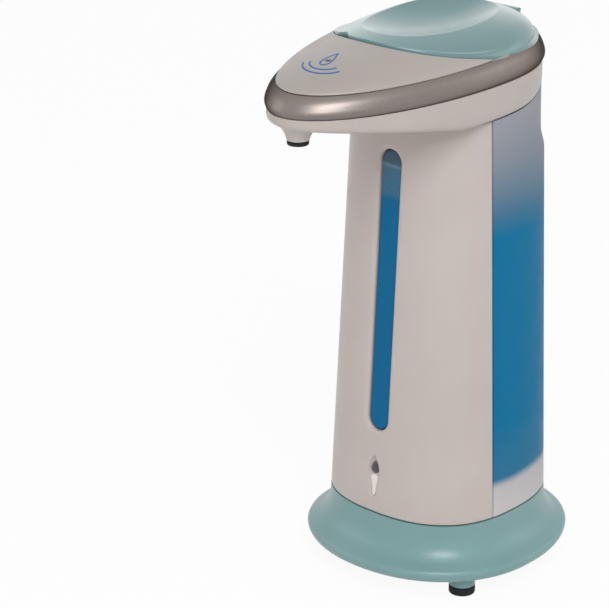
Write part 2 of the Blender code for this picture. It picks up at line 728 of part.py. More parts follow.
def battery_door():
    """A flat door whose rear edge is rounded about its hinge axis, so that it clears its seat as it turns."""
    half_width, front, rear = door_limits(GAP)
    round_radius = DOOR_THICKNESS / 2
    axis = Vector((0, rear - round_radius, BASE_UNDERSIDE + round_radius))
    profile = [(front, BASE_UNDERSIDE)]
    for step in range(DOOR_ROUND_STEPS + 1):
        angle = math.pi * (step / DOOR_ROUND_STEPS - 0.5)
        profile.append((axis.y + round_radius * math.cos(angle), axis.z + round_radius * math.sin(angle)))
    profile.append((front, BASE_UNDERSIDE + DOOR_THICKNESS))
    door = loft("battery_door", [[(x, y, z) for y, z in profile] for x in (-half_width, half_width)], "teal", True, True)
    for number in range(DOOR_GRIP_RIBS):
        y = front + DOOR_GRIP_START + number * DOOR_GRIP_SPACING
        size = DOOR_GRIP_DEPTH
        cut(door, box(
            f"door_grip_{number}", (-DOOR_GRIP_HALF_WIDTH, y, BASE_UNDERSIDE - OVERRUN),
            (DOOR_GRIP_HALF_WIDTH, y + size, BASE_UNDERSIDE + size / 2),
        ))
    return place(door, axis)


DOOR_ROUND_STEPS = 8
DOOR_GRIP_RIBS = 4
DOOR_GRIP_START = 3.0 * MM
DOOR_GRIP_SPACING = 2.0 * MM
DOOR_GRIP_DEPTH = 0.9 * MM
DOOR_GRIP_HALF_WIDTH = 6.0 * MM


def batteries():
    _, front, rear, _ = bay_limits()
    spring = CONTACT_THICKNESS + CONTACT_SPRING_LENGTH + 2 * GAP
    for number in range(CELL_COUNT):
        x = (number - (CELL_COUNT - 1) / 2) * CELL_SPACING
        profile = (
            (0, CELL_NUB_LENGTH), (CELL_NUB_RADIUS, CELL_NUB_LENGTH), (CELL_NUB_RADIUS, 0),
            (CELL_RADIUS - CELL_NUB_LENGTH / 2, 0), (CELL_RADIUS, -CELL_NUB_LENGTH / 2),
            (CELL_RADIUS, -CELL_LENGTH), (0, -CELL_LENGTH),
        )
        cell = turned(f"battery_{number + 1}", profile, "steel", 16)
        # The contact springs stand on the front strip, so the cells lie against the rear one
        cell.location = (x, rear - CONTACT_THICKNESS - 2 * GAP - CELL_NUB_LENGTH, cell_axis_height())
        cell.rotation_euler = (-math.pi / 2, 0, 0)
    height = cell_axis_height()
    half_width = CELL_SPACING * (CELL_COUNT - 1) / 2 + CONTACT_SPRING_RADIUS + GAP
    for name, y, out in (("contact_strip_front", front + GAP, 1), ("contact_strip_rear", rear - GAP, -1)):
        low_y, high_y = sorted((y, y + out * CONTACT_THICKNESS))
        strip = box(
            name, (-half_width, low_y, height - CONTACT_HEIGHT / 2),
            (half_width, high_y, height + CONTACT_HEIGHT / 2), "steel",
        )
        if out < 0:
            continue
        for number in range(CELL_COUNT):
            x = (number - (CELL_COUNT - 1) / 2) * CELL_SPACING
            length = CONTACT_SPRING_LENGTH + CONTACT_THICKNESS / 2
            middle = (x, high_y - CONTACT_THICKNESS / 2 + length / 2, height)
            join(strip, rod(
                f"contact_spring_{number + 1}", middle, CONTACT_SPRING_RADIUS, length, "Y",
                end_radius=CONTACT_SPRING_RADIUS / 2, points=10,
            ))
    return spring


def screw(name, x, y, seat_height, length, finish="steel", upward=True):
    """A pan-head screw: its head's underside lies on the seat, and its shank runs up or down."""
    profile = (
        (0, SCREW_HEAD_HEIGHT), (SCREW_HEAD_RADIUS * 0.7, SCREW_HEAD_HEIGHT),
        (SCREW_HEAD_RADIUS, SCREW_HEAD_HEIGHT / 2), (SCREW_HEAD_RADIUS, 0),
        (SCREW_SHANK_RADIUS, 0), (SCREW_SHANK_RADIUS, -length), (0, -length),
    )
    made = turned(name, profile, finish, 12)
    made.location = (x, y, seat_height)
    if upward:
        made.rotation_euler = (math.pi, 0, 0)
    return made


def base_fasteners():
    seat = BASE_UNDERSIDE + SCREW_HEAD_HEIGHT
    for number, (x, y) in enumerate(base_boss_places(), 1):
        screw(f"base_screw_{number}", x, y, seat, SCREW_LENGTH - SCREW_HEAD_HEIGHT)


def rubber_feet():
    for number, (x, y) in enumerate(foot_places(), 1):
        edge = FOOT_PAD_THICKNESS / 5
        top = FOOT_PAD_THICKNESS
        profile = (
            (0, top + FOOT_STEM_HEIGHT), (FOOT_STEM_RADIUS, top + FOOT_STEM_HEIGHT), (FOOT_STEM_RADIUS, top),
            (FOOT_RADIUS - edge, top), (FOOT_RADIUS, top - edge), (FOOT_RADIUS, edge),
            (FOOT_RADIUS - edge, 0), (0, 0),
        )
        foot = turned(f"rubber_foot_{number}", profile, "rubber", 16)
        foot.location = (x, y, 0)


def power_switch():
    """The knob slides along Y in a housing on the inside of the base plate."""
    x = -SWITCH_SIDE_OFFSET
    floor = BASE_UNDERSIDE + BASE_PLATE_THICKNESS + GAP
    top = floor + SWITCH_HEIGHT
    half_shoe = SWITCH_KNOB_LENGTH / 2 + SWITCH_WALL
    half_room = half_shoe + SWITCH_TRAVEL / 2 + GAP
    half_depth = SWITCH_KNOB_WIDTH / 2 + SWITCH_WALL
    housing = box(
        "switch_housing", (x - half_depth - GAP - SWITCH_WALL, -half_room - SWITCH_WALL, floor),
        (x + half_depth + GAP + SWITCH_WALL, half_room + SWITCH_WALL, top), "dark_plastic",
    )
    cut(housing, box(
        "switch_room", (x - half_depth - GAP, -half_room, floor - OVERRUN),
        (x + half_depth + GAP, half_room, floor + SWITCH_SHOE_HEIGHT + 2 * GAP),
    ))
    start = -SWITCH_TRAVEL / 2
    half_knob = SWITCH_KNOB_LENGTH / 2
    knob = box(
        "switch_knob", (x - SWITCH_KNOB_WIDTH / 2, start - half_knob, BASE_UNDERSIDE - SWITCH_KNOB_PROUD),
        (x + SWITCH_KNOB_WIDTH / 2, start + half_knob, floor + BITE), "dark_plastic",
    )
    join(knob, box(
        "switch_shoe", (x - half_depth, start - half_shoe, floor + GAP),
        (x + half_depth, start + half_shoe, floor + GAP + SWITCH_SHOE_HEIGHT),
    ))
    return place(knob, Vector((x, start, BASE_UNDERSIDE)))


# Boards, sensor and leads

def board_top():
    _, _, _, ceiling = bay_limits()
    return ceiling + BAY_WALL + GAP + BOARD_THICKNESS


def sensor_board_back():
    return -BOARD_FRONT_OFFSET + BOARD_THICKNESS + GAP


def boards():
    top = board_top()
    front = -BOARD_FRONT_OFFSET
    box(
        "control_board", (-BOARD_HALF_WIDTH, front, top - BOARD_THICKNESS),
        (BOARD_HALF_WIDTH, front + BOARD_LENGTH, top), "board_green",
    )
    low = top + GAP
    box(
        "sensor_board", (-SENSOR_BOARD_HALF_WIDTH, sensor_board_back() - BOARD_THICKNESS, low),
        (SENSOR_BOARD_HALF_WIDTH, sensor_board_back(), low + SENSOR_BOARD_HEIGHT), "board_green",
    )
    box(
        "control_chip", (-CHIP_WIDTH / 2, CHIP_BACK_OFFSET, low),
        (CHIP_WIDTH / 2, CHIP_BACK_OFFSET + CHIP_LENGTH, low + CHIP_HEIGHT), "dark_plastic",
    )
    middle = (0, -CAPACITOR_FRONT_OFFSET, low + CAPACITOR_HEIGHT / 2)
    rod("capacitor", middle, CAPACITOR_RADIUS, CAPACITOR_HEIGHT, "Z", "steel", points=14)


def eye_outline(margin=0.0):
    """The drop-shaped eye: a pointed top, its widest place, and a tail that narrows downwards."""
    half, tail = EYE_WIDTH / 2 + margin, EYE_TAIL_WIDTH / 2 + margin
    outline = [(0, EYE_TIP_HEIGHT + margin)]
    shoulder = mix(EYE_WIDEST_HEIGHT, EYE_TIP_HEIGHT, 0.45)
    outline.append((-half * 0.78, shoulder))
    outline.append((-half, EYE_WIDEST_HEIGHT))
    low = EYE_BOTTOM_HEIGHT + tail
    for step in range(5):
        angle = math.pi + math.pi * step / 4
        outline.append((tail * math.cos(angle), low + tail * math.sin(angle)))
    outline.append((half, EYE_WIDEST_HEIGHT))
    outline.append((half * 0.78, shoulder))
    return outline


def lens_outline(margin=0.0):
    """The dark part of the eye: the drop above its widest place."""
    half = EYE_WIDTH / 2 + margin
    shoulder = mix(EYE_WIDEST_HEIGHT, EYE_TIP_HEIGHT, 0.45)
    low = EYE_WIDEST_HEIGHT - margin
    return [(half, low), (half * 0.78, shoulder), (0, EYE_TIP_HEIGHT + margin), (-half * 0.78, shoulder), (-half, low)]


def sensor():
    eye_middle = mix(EYE_WIDEST_HEIGHT, EYE_TIP_HEIGHT, 0.45)
    inner_face = column_front(EYE_TIP_HEIGHT + SENSOR_WINDOW_MARGIN) + CASING_WALL + 3 * GAP
    outer_face = column_front(EYE_WIDEST_HEIGHT) + EYE_RECESS_DEPTH
    half = EYE_WIDTH / 2 + SENSOR_WINDOW_MARGIN
    low, high = EYE_WIDEST_HEIGHT - SENSOR_WINDOW_MARGIN, EYE_TIP_HEIGHT + SENSOR_WINDOW_MARGIN
    window = box("sensor_window", (-half, inner_face, low), (half, inner_face + SENSOR_WINDOW_FLANGE, high), "dark_lens")
    join(window, upright_slab("window_drop", lens_outline(-1.6 * GAP), outer_face, inner_face + BITE / 2))
    back = inner_face + SENSOR_WINDOW_FLANGE + GAP
    length = sensor_board_back() - BOARD_THICKNESS - GAP - back
    for name, side in (("ir_emitter", -1), ("ir_receiver", 1)):
        middle = (side * DIODE_SPACING / 2, back + length / 2, eye_middle)
        rod(name, middle, DIODE_RADIUS, length, "Y", "dark_lens", points=12)


def motor_leads():
    """A twin lead from the control board up between casing and tank, through the lower shell, to the motor."""
    x = LEAD_SIDE_OFFSET
    start_y = -BOARD_FRONT_OFFSET + 4 * LEAD_RADIUS
    inside = SEAM_Y - 3 * LEAD_RADIUS
    rear = -MOTOR_FRONT_OFFSET + MOTOR_LENGTH + 3 * GAP
    height = MOTOR_AXIS_HEIGHT
    points = (
        (x, start_y, board_top() + GAP), (x, start_y, board_top() + 10 * LEAD_RADIUS),
        (x, inside, SLOT_BOTTOM), (x - LEAD_SLACK, inside + LEAD_SLACK, mix(SLOT_BOTTOM, SLOT_TOP, 0.3)),
        (x + LEAD_SLACK, inside, mix(SLOT_BOTTOM, SLOT_TOP, 0.65)), (x, inside, SLOT_TOP),
        (x, inside, lead_hole_height()), (mix(x, -MOTOR_SIDE_OFFSET, 0.6), inside + LEAD_RADIUS, height),
        (-MOTOR_SIDE_OFFSET, rear, height),
    )
    return tube("motor_leads", points, LEAD_RADIUS, "rubber", 1)


def lead_hole_height():
    return lower_edge(SEAM_Y) - HULL_DEPTH


# Column

def hull_space():
    """The lower shell's outside, a gap larger and carried upwards, to shape what meets it."""
    rings = hull_rings(1.5 * GAP)
    rings.append([(x, y, z + HULL_DEPTH) for x, y, z in rings[-1]])
    return loft("hull_space", rings, None, True, True)


def front_casing():
    rings = [column_section(height) for height in (COLUMN_FOOT_HEIGHT, COLUMN_HEAD_HEIGHT + 1.5 * OVERRUN)]
    casing = loft("front_casing", rings, "white")
    bm = bmesh.new()
    bm.from_mesh(casing.data)
    bmesh.ops.bisect_plane(
        bm, geom=[*bm.verts, *bm.edges, *bm.faces], plane_co=(0, SEAM_Y + CASING_WALL, 0), plane_no=(0, 1, 0),
        clear_outer=True,
    )
    bm.to_mesh(casing.data)
    bm.free()
    solidify(casing, CASING_WALL)
    reach = COLUMN_FOOT_HALF_WIDTH + OVERRUN
    behind = box("behind_seam", (-reach, SEAM_Y, 0), (reach, reach, COLUMN_HEAD_HEIGHT + 2 * OVERRUN))
    front = -COLUMN_FOOT_FRONT - OVERRUN
    slot = upright_slab("sight_slot", stadium(SLOT_WIDTH, SLOT_BOTTOM, SLOT_TOP), front, SEAM_Y - CASING_WALL)
    reveal_outline = stadium(
        SLOT_WIDTH + 2 * SLOT_REVEAL_WIDTH, SLOT_BOTTOM - SLOT_REVEAL_WIDTH, SLOT_TOP + SLOT_REVEAL_WIDTH,
    )
    reveal = upright_slab("slot_reveal", reveal_outline, front, lambda z: column_front(z) + SLOT_REVEAL_DEPTH)
    eye = upright_slab("eye_recess", eye_outline(GAP), front, lambda z: column_front(z) + EYE_RECESS_DEPTH)
    through = upright_slab("eye_hole", lens_outline(), front, SEAM_Y - CASING_WALL)
    return cut(casing, behind, bpy.data.objects["hull_space"], slot, reveal, eye, through)


def tank_shape(name, inset, low, high, rib_low, rib_high, finish=None):
    """The D-shaped tank with its sight rib, drawn in by an inset: outside, hollow and soap all use it."""
    heights = [height for height in (SHOULDER_LOW, SHOULDER_HIGH) if low < height < high]
    rings = []
    for height in (low, *heights, high):
        share = min(max((height - SHOULDER_LOW) / (SHOULDER_HIGH - SHOULDER_LOW), 0.0), 1.0)
        rings.append(column_section(height, inset, SHOULDER_INSET * share))
    shape = loft(name, rings, finish, True, True)
    wall_y = SEAM_Y + GAP + inset
    reach = COLUMN_FOOT_FRONT + OVERRUN
    cut(shape, box(
        name + "_front_cut", (-COLUMN_FOOT_HALF_WIDTH - OVERRUN, -reach, low - OVERRUN),
        (COLUMN_FOOT_HALF_WIDTH + OVERRUN, wall_y, high + OVERRUN),
    ))
    rib = upright_slab(
        name + "_rib", stadium(SLOT_WIDTH - 2 * GAP - 2 * inset, rib_low, rib_high),
        lambda z: column_front(z) + RIB_SETBACK + inset, wall_y + BITE,
    )
    return join(shape, rib)


def soap_tank():
    top = COLUMN_HEAD_HEIGHT + 1.5 * OVERRUN
    rib_low, rib_high = SLOT_BOTTOM + GAP, SLOT_TOP - GAP
    tank = tank_shape("soap_tank", 0, COLUMN_FOOT_HEIGHT, top, rib_low, rib_high, "clear_tank")
    cut(tank, bpy.data.objects["hull_space"])
    neck_top = TRAY_FLOOR_HEIGHT + NECK_LIP
    low = TANK_CEILING_HEIGHT + BITE
    middle = (0, NECK_BACK_OFFSET, (low + neck_top) / 2)
    join(tank, rod("neck_outside", middle, NECK_RADIUS, neck_top - low, points=28))
    hollow = tank_shape(
        "tank_hollow", TANK_WALL, TANK_FLOOR_HEIGHT, TANK_CEILING_HEIGHT, rib_low + TANK_WALL, rib_high - TANK_WALL,
    )
    low = TANK_CEILING_HEIGHT - BITE
    middle = (0, NECK_BACK_OFFSET, (low + neck_top + OVERRUN) / 2)
    bore = rod("neck_bore", middle, NECK_RADIUS - NECK_WALL, neck_top + OVERRUN - low, points=28)
    cut(tank, hollow, bore)
    under = [column_section(height, TANK_SKIRT_WALL) for height in (
        COLUMN_FOOT_HEIGHT - OVERRUN, TANK_FLOOR_HEIGHT - TANK_WALL)]
    below = loft("tank_underside", under, None, True, True)
    cut(tank, below)
    middle = (0, -DIP_TUBE_FRONT_OFFSET, COLUMN_HEAD_HEIGHT)
    cut(tank, rod("tube_hole", middle, DIP_TUBE_RADIUS + GAP, 4 * OVERRUN))
    for number, (x, y) in enumerate(head_screw_places(), 1):
        depth = HEAD_SCREW_LENGTH - HULL_WALL
        middle = (x, y, head_screw_seat(x, y) - HEAD_SCREW_LENGTH / 2 - GAP)
        cut(tank, rod(f"tank_screw_hole_{number}", middle, SCREW_SHANK_RADIUS + GAP, HEAD_SCREW_LENGTH + GAP))
    return depth


def soap_fill():
    inset = TANK_WALL + GAP
    rib_low = SLOT_BOTTOM + GAP + inset
    rib_high = SOAP_LEVEL + SLOT_WIDTH
    soap = tank_shape("soap_fill", inset, TANK_FLOOR_HEIGHT + GAP, SOAP_LEVEL, rib_low, rib_high, "soap")
    reach = COLUMN_FOOT_REAR + OVERRUN
    cut(soap, box("soap_surface", (-reach, -reach, SOAP_LEVEL - GAP / 2), (reach, reach, SOAP_LEVEL + 4 * OVERRUN)))
    low = TANK_FLOOR_HEIGHT + DIP_TUBE_FLOOR_GAP - GAP
    middle = (0, -DIP_TUBE_FRONT_OFFSET, (low + SOAP_LEVEL + OVERRUN) / 2)
    return cut(soap, rod("soap_tube_hole", middle, DIP_TUBE_RADIUS + GAP, SOAP_LEVEL + OVERRUN - low))


def dip_tube():
    low = TANK_FLOOR_HEIGHT + DIP_TUBE_FLOOR_GAP
    high = dip_tube_top()
    profile = (
        (DIP_TUBE_BORE, high), (DIP_TUBE_RADIUS, high), (DIP_TUBE_RADIUS, low), (DIP_TUBE_BORE, low),
    )
    made = turned("dip_tube", profile, "clear_tube", 12)
    made.location = (0, -DIP_TUBE_FRONT_OFFSET, 0)
    return made


def dip_tube_top():
    return lower_edge(-DIP_TUBE_FRONT_OFFSET) - HULL_DEPTH + HULL_WALL + DIP_TUBE_RISE


# Head

def head_lower_shell():
    rings = hull_rings()
    spigot_inset = BAND_WALL + 1.3 * GAP
    rings.append([(x, y, lower_edge(y)) for x, y in lower_leaf(spigot_inset)])
    rings.append([(x, y, upper_edge(y) - BITE) for x, y in upper_leaf(spigot_inset)])
    shell = solidify(loft("head_lower_shell", rings, "white", True), HULL_WALL)
    top = NOZZLE_BOSS_BOTTOM + NOZZLE_BOSS_HEIGHT
    middle = (0, -NOZZLE_REACH, (NOZZLE_BOSS_BOTTOM + top) / 2)
    boss = rod(
        "nozzle_boss", middle, NOZZLE_BOSS_RADIUS, NOZZLE_BOSS_HEIGHT, end_radius=NOZZLE_BOSS_TOP_RADIUS,
        points=24,
    )
    join(shell, boss)
    for number, (x, y) in enumerate(bracket_screw_places(), 1):
        high = BRACKET_FOOT_HEIGHT - GAP
        low = hull_bottom(x, y) + HULL_WALL / 2
        join(shell, rod(f"bracket_boss_{number}", (x, y, (low + high) / 2), BOSS_RADIUS, high - low))
    for number, (x, y) in enumerate(bracket_screw_places(), 1):
        high = BRACKET_FOOT_HEIGHT
        depth = BRACKET_SCREW_BITE + GAP
        middle = (x, y, high - depth / 2)
        cut(shell, rod(f"bracket_boss_hole_{number}", middle, SCREW_SHANK_RADIUS + GAP, depth, points=12))
    nozzle_place = (0, -NOZZLE_REACH, NOZZLE_BOSS_BOTTOM)
    cut(shell, rod("nozzle_hole", nozzle_place, NOZZLE_STEM_RADIUS + GAP, 2 * NOZZLE_BOSS_HEIGHT + OVERRUN))
    floor = lower_edge(0) - HULL_DEPTH
    cut(shell, rod("neck_hole", (0, NECK_BACK_OFFSET, floor), NECK_RADIUS + GAP, 4 * OVERRUN, points=28))
    cut(shell, rod("shell_tube_hole", (0, -DIP_TUBE_FRONT_OFFSET, floor), DIP_TUBE_RADIUS + GAP, 4 * OVERRUN))
    lead_place = (LEAD_SIDE_OFFSET, SEAM_Y - 3 * LEAD_RADIUS, floor)
    cut(shell, rod("lead_hole", lead_place, 3 * LEAD_RADIUS, 4 * OVERRUN))
    for number, (x, y) in enumerate(head_screw_places(), 1):
        cut(shell, rod(f"shell_screw_hole_{number}", (x, y, floor), SCREW_SHANK_RADIUS + GAP, 4 * OVERRUN))
    return shell


def head_screw_places():
    return (HEAD_SCREW_SIDE_OFFSET, HEAD_SCREW_BACK_OFFSET), (-HEAD_SCREW_SIDE_OFFSET, HEAD_SCREW_BACK_OFFSET)


def head_screw_seat(x, y):
    """The screw's head rests over the highest place of the sloping floor under it."""
    outer = math.copysign(abs(x) + SCREW_HEAD_RADIUS, x)
    return hull_bottom(outer, y) + HULL_WALL + 2 * GAP


def band_rings():
    rings = []
    for share in BAND_HEIGHT_SHARES:
        bulge = BAND_BULGE * math.sin(math.pi * share) ** 0.8
        ring = []
        for (low_x, low_y), (high_x, high_y) in zip(lower_leaf(-bulge), upper_leaf(-bulge)):
            x, y = mix(low_x, high_x, share), mix(low_y, high_y, share)
            ring.append((x, y, mix(lower_edge(y) + GAP, upper_edge(y), share)))
        rings.append(ring)
    return rings


def trim_band():
    band = solidify(loft("trim_band", band_rings(), "silver"), BAND_WALL)
    half = HINGE_KNUCKLE_WIDTH / 2 + HINGE_EAR_WIDTH + 2 * GAP
    return cut(band, rod("band_hinge_cut", hinge_axis(), HINGE_RADIUS + GAP, 2 * half, "X"))


BAND_HEIGHT_SHARES = (0.0, 0.1, 0.25, 0.42, 0.6, 0.78, 0.92, 1.0)


def head_top_shell():
    rings = []
    for scale in DOME_SCALE_SHARES:
        rings.append([(x, y, dome_height(x, y) + GAP) for x, y in upper_leaf(0, scale)])
    shell = solidify(loft("head_top_shell", rings, "white", False, True), DOME_WALL)
    opening = lid_outline(-GAP)
    far = LID_REAR + OVERRUN
    wide = [*opening[ROUND_POINTS // 2:], opening[0]]
    low, high = BAND_LOWER_HEIGHT, BAND_UPPER_HEIGHT + DOME_RISE + OVERRUN
    side = LID_HALF_WIDTH + OVERRUN
    corners = [(side, LID_MIDDLE_Y), (side, far), (-side, far), (-side, LID_MIDDLE_Y)]
    cut(shell, slab("lid_opening", [*corners, *wide], low, high))
    light_top = dome_height(0, -STATUS_LIGHT_OFFSET)
    return cut(shell, rod("light_hole", (0, -STATUS_LIGHT_OFFSET, light_top), STATUS_LIGHT_RADIUS + GAP, 2 * OVERRUN))


DOME_SCALE_SHARES = (1.0, 0.985, 0.95, 0.88, 0.78, 0.66, 0.52, 0.36, 0.18)


def status_light():
    top = dome_height(0, -STATUS_LIGHT_OFFSET)
    low = top - DOME_WALL
    profile = (
        (0, top + GAP), (STATUS_LIGHT_RADIUS / 2, top + GAP), (STATUS_LIGHT_RADIUS, top - GAP),
        (STATUS_LIGHT_RADIUS, low), (0, low),
    )
    light = turned("status_light", profile, "dark_lens", 12)
    light.location = (0, -STATUS_LIGHT_OFFSET, 0)
    return light


def fill_lid():
    edge = lid_outline()
    dish = oval(DISH_HALF_WIDTH, DISH_FRONT, DISH_REAR, DISH_MIDDLE_Y, DISH_POWER, DISH_POWER)

    def raised(share, lift):
        ring = []
        for (edge_x, edge_y), (dish_x, dish_y) in zip(edge, dish):
            x, y = mix(edge_x, dish_x, share), mix(edge_y, dish_y, share)
            ring.append((x, y, dome_height(x, y) + lift))
        return ring

    bead_share = LID_BEAD_WIDTH / (LID_HALF_WIDTH - DISH_HALF_WIDTH)
    outer = [raised(bead_share, GAP), *[raised(share, GAP) for share in LID_SLOPE_SHARES]]
    rim = outer[-1]
    centre = Vector((0, DISH_MIDDLE_Y, min(point[2] for point in rim) - DISH_DEPTH + BITE))
    for share in DISH_REACH_SHARES:
        sink = 1 - (1 - share) ** 2
        outer.append([(mix(x, centre.x, share), mix(y, centre.y, share), mix(z, centre.z, sink)) for x, y, z in rim])
    under = [[(x, y, z - LID_WALL) for x, y, z in ring] for ring in reversed(outer)]
    bead = [
        raised(0, GAP), raised(0, GAP + LID_BEAD_HEIGHT / 2),
        raised(bead_share / 4, GAP + LID_BEAD_HEIGHT), raised(bead_share * 0.6, GAP + LID_BEAD_HEIGHT),
    ]
    lid = loft("fill_lid", [*under, *bead, *outer], "teal", True, True)
    axis = hinge_axis()
    slot_front = LID_MIDDLE_Y + tray_reaches()[1] - 2.2 * TRAY_WALL - GAP
    ear_inner = HINGE_KNUCKLE_WIDTH / 2 + GAP
    ear_outer = ear_inner + HINGE_EAR_WIDTH
    for name, side in (("right", 1), ("left", -1)):
        low_x, high_x = sorted((side * (ear_inner - GAP), side * (ear_outer + GAP)))
        cut(lid, box(
            f"lid_ear_slot_{name}", (low_x, slot_front, axis.z - OVERRUN),
            (high_x, axis.y + OVERRUN, axis.z + HINGE_RADIUS + GAP),
        ))
    join(lid, rod("lid_knuckle", axis, HINGE_RADIUS, HINGE_KNUCKLE_WIDTH - GAP, "X"))
    cut(lid, rod("lid_pin_hole", axis, HINGE_PIN_RADIUS + GAP, 2 * OVERRUN + HINGE_KNUCKLE_WIDTH, "X"))
    nick_y = LID_MIDDLE_Y - LID_FRONT * math.sqrt(1 - (FINGER_NICK_SIDE_OFFSET / LID_HALF_WIDTH) ** 2)
    nick = (-FINGER_NICK_SIDE_OFFSET, nick_y - FINGER_NICK_RADIUS / 2, dome_height(0, nick_y))
    cut(lid, rod("finger_nick", nick, FINGER_NICK_RADIUS, 2 * OVERRUN))
    return place(lid, axis)


LID_SLOPE_SHARES = (0.45, 0.75, 1.0)
DISH_REACH_SHARES = (0.06, 0.18, 0.36, 0.56, 0.78)


def filler_tray():
    half_width, rear = tray_reaches()

    def ring(inset, height):
        outline = oval(
            half_width - inset, LID_FRONT - TRAY_FRONT_INSET - inset, rear - inset, LID_MIDDLE_Y,
            LID_FRONT_POWER, TRAY_REAR_POWER,
        )
        return [(x, y, height(x, y)) for x, y in outline]

    flat = TRAY_FLOOR_HEIGHT
    rings = [
        ring(TRAY_FLOOR_RADIUS, lambda x, y: flat - TRAY_WALL),
        ring(0, lambda x, y: flat + TRAY_FLOOR_RADIUS - TRAY_WALL),
        ring(0, lambda x, y: dome_height(x, y) - TRAY_LID_SPACE),
    ]
    tray = solidify(loft("filler_tray", rings, "white", True), TRAY_WALL)
    axis = hinge_axis()
    inner = HINGE_KNUCKLE_WIDTH / 2 + GAP
    wall_y = LID_MIDDLE_Y + rear
    for name, side in (("right", 1), ("left", -1)):
        low_x, high_x = sorted((side * inner, side * (inner + HINGE_EAR_WIDTH)))
        middle_x = (low_x + high_x) / 2
        riser = box(
            f"ear_riser_{name}", (low_x, wall_y - 2.2 * TRAY_WALL, flat + TRAY_WALL),
            (high_x, wall_y - 0.7 * TRAY_WALL, axis.z + HINGE_WEB / 2),
        )
        web = box(
            f"ear_web_{name}", (low_x, wall_y - 2 * TRAY_WALL, axis.z - HINGE_WEB / 2),
            (high_x, axis.y, axis.z + HINGE_WEB / 2),
        )
        ear = rod(f"hinge_ear_{name}", (middle_x, axis.y, axis.z), HINGE_RADIUS, HINGE_EAR_WIDTH, "X")
        join(tray, riser, web, ear)
    cut(tray, rod("ear_pin_hole", axis, HINGE_PIN_RADIUS + GAP, 4 * (inner + HINGE_EAR_WIDTH), "X"))
    return cut(tray, rod("tray_neck_hole", (0, NECK_BACK_OFFSET, flat), NECK_RADIUS + GAP, 2 * OVERRUN, points=28))


TRAY_FLOOR_RADIUS = 2.0 * MM


def hinge_pin():
    length = HINGE_KNUCKLE_WIDTH + 2 * HINGE_EAR_WIDTH + 2 * GAP
    return rod("hinge_pin", hinge_axis(), HINGE_PIN_RADIUS, length, "X", "steel", points=12)


def neck_gasket():
    inner = NECK_RADIUS + GAP
    outer = inner + 2 * GASKET_RADIUS
    low = TRAY_FLOOR_HEIGHT + GAP
    high = low + 1.2 * GASKET_RADIUS
    edge = GASKET_RADIUS / 3
    profile = (
        (inner, high), (outer - edge, high), (outer, high - edge), (outer, low), (inner, low),
    )
    gasket = turned("neck_gasket", profile, "rubber", 28)
    gasket.location = (0, NECK_BACK_OFFSET, 0)
    return gasket


def nozzle_tip():
    ring_top = NOZZLE_BOSS_BOTTOM - GAP
    low = ring_top - NOZZLE_RING_HEIGHT
    stem_top = ring_top + NOZZLE_STEM_HEIGHT
    edge = NOZZLE_RING_HEIGHT / 4
    profile = (
        (NOZZLE_BORE, stem_top), (NOZZLE_STEM_RADIUS, stem_top), (NOZZLE_STEM_RADIUS, ring_top),
        (NOZZLE_RING_RADIUS, ring_top), (NOZZLE_RING_RADIUS, low + edge), (NOZZLE_RING_RADIUS - edge, low),
        (NOZZLE_BORE, low),
    )
    tip = turned("nozzle_tip", profile, "rubber", 24)
    tip.location = (0, -NOZZLE_REACH, 0)
    return tip


# Motor, gears and pump

def gear_outline(teeth, module, phase):
    """An involute spur gear with a tooth centred on the phase angle, as (x, z) points."""
    pitch = teeth * module / 2
    base = pitch * math.cos(GEAR_PRESSURE_ANGLE)
    tip = pitch + GEAR_ADDENDUM_SHARE * module
    root = pitch - GEAR_ROOT_SHARE * module

    def involute(radius):
        roll = math.acos(min(base / radius, 1.0))
        return math.tan(roll) - roll

    half_tooth = math.pi / (2 * teeth) - GEAR_BACKLASH / (2 * pitch)
    outline = []
    for tooth in range(teeth):
        centre = phase + math.tau * tooth / teeth
        flank = []
        for share in GEAR_FLANK_SHARES:
            radius = mix(max(base, root), tip, share)
            flank.append((radius, half_tooth + involute(pitch) - involute(radius)))
        if root < base:
            flank.insert(0, (root, flank[0][1]))
        for radius, offset in flank:
            outline.append((radius, centre - offset))
        for radius, offset in reversed(flank):
            outline.append((radius, centre + offset))
    return [(radius * math.cos(angle), radius * math.sin(angle)) for radius, angle in outline]


GEAR_FLANK_SHARES = (0.0, 0.5, 1.0)


def gear(name, centre, width, teeth, module, phase, finish):
    """A gear whose origin is on its own axis, which runs along Y."""
    x, front, z = centre
    outline = gear_outline(teeth, module, phase)
    return upright_slab(name, [(x + px, z + pz) for px, pz in outline], front, front + width, finish)


def motor_axis():
    return Vector((-MOTOR_SIDE_OFFSET, -MOTOR_FRONT_OFFSET, MOTOR_AXIS_HEIGHT))


def reduction_axis():
    distance = (PINION_TEETH + REDUCTION_TEETH) * GEAR_MODULE / 2 + GEAR_CENTRE_PLAY
    rise = math.radians(GEAR_RISE_DEGREES)
    return motor_axis() + Vector((distance * math.cos(rise), 0, distance * math.sin(rise)))


def idle_axis():
    return reduction_axis() - Vector((PUMP_TEETH * PUMP_MODULE + GEAR_CENTRE_PLAY, 0, 0))


def gear_front():
    """The front face of the reduction gear: bracket, gear, pump cover and pump follow each other forwards."""
    return -MOTOR_FRONT_OFFSET - BRACKET_THICKNESS - 3 * GAP - GEAR_WIDTH


def pump_cover_back():
    return gear_front() - 2 * GAP


def pump_back():
    return pump_cover_back() - PUMP_COVER_THICKNESS - GAP


def pump_front():
    return pump_back() - PUMP_GEAR_WIDTH - 2 * GAP - PUMP_WALL


def pump_port(side):
    """The inlet lies over the mesh of the two gears and the outlet under it."""
    right, left = reduction_axis(), idle_axis()
    return (right.x + left.x) / 2, right.z + side * PUMP_PORT_OFFSET


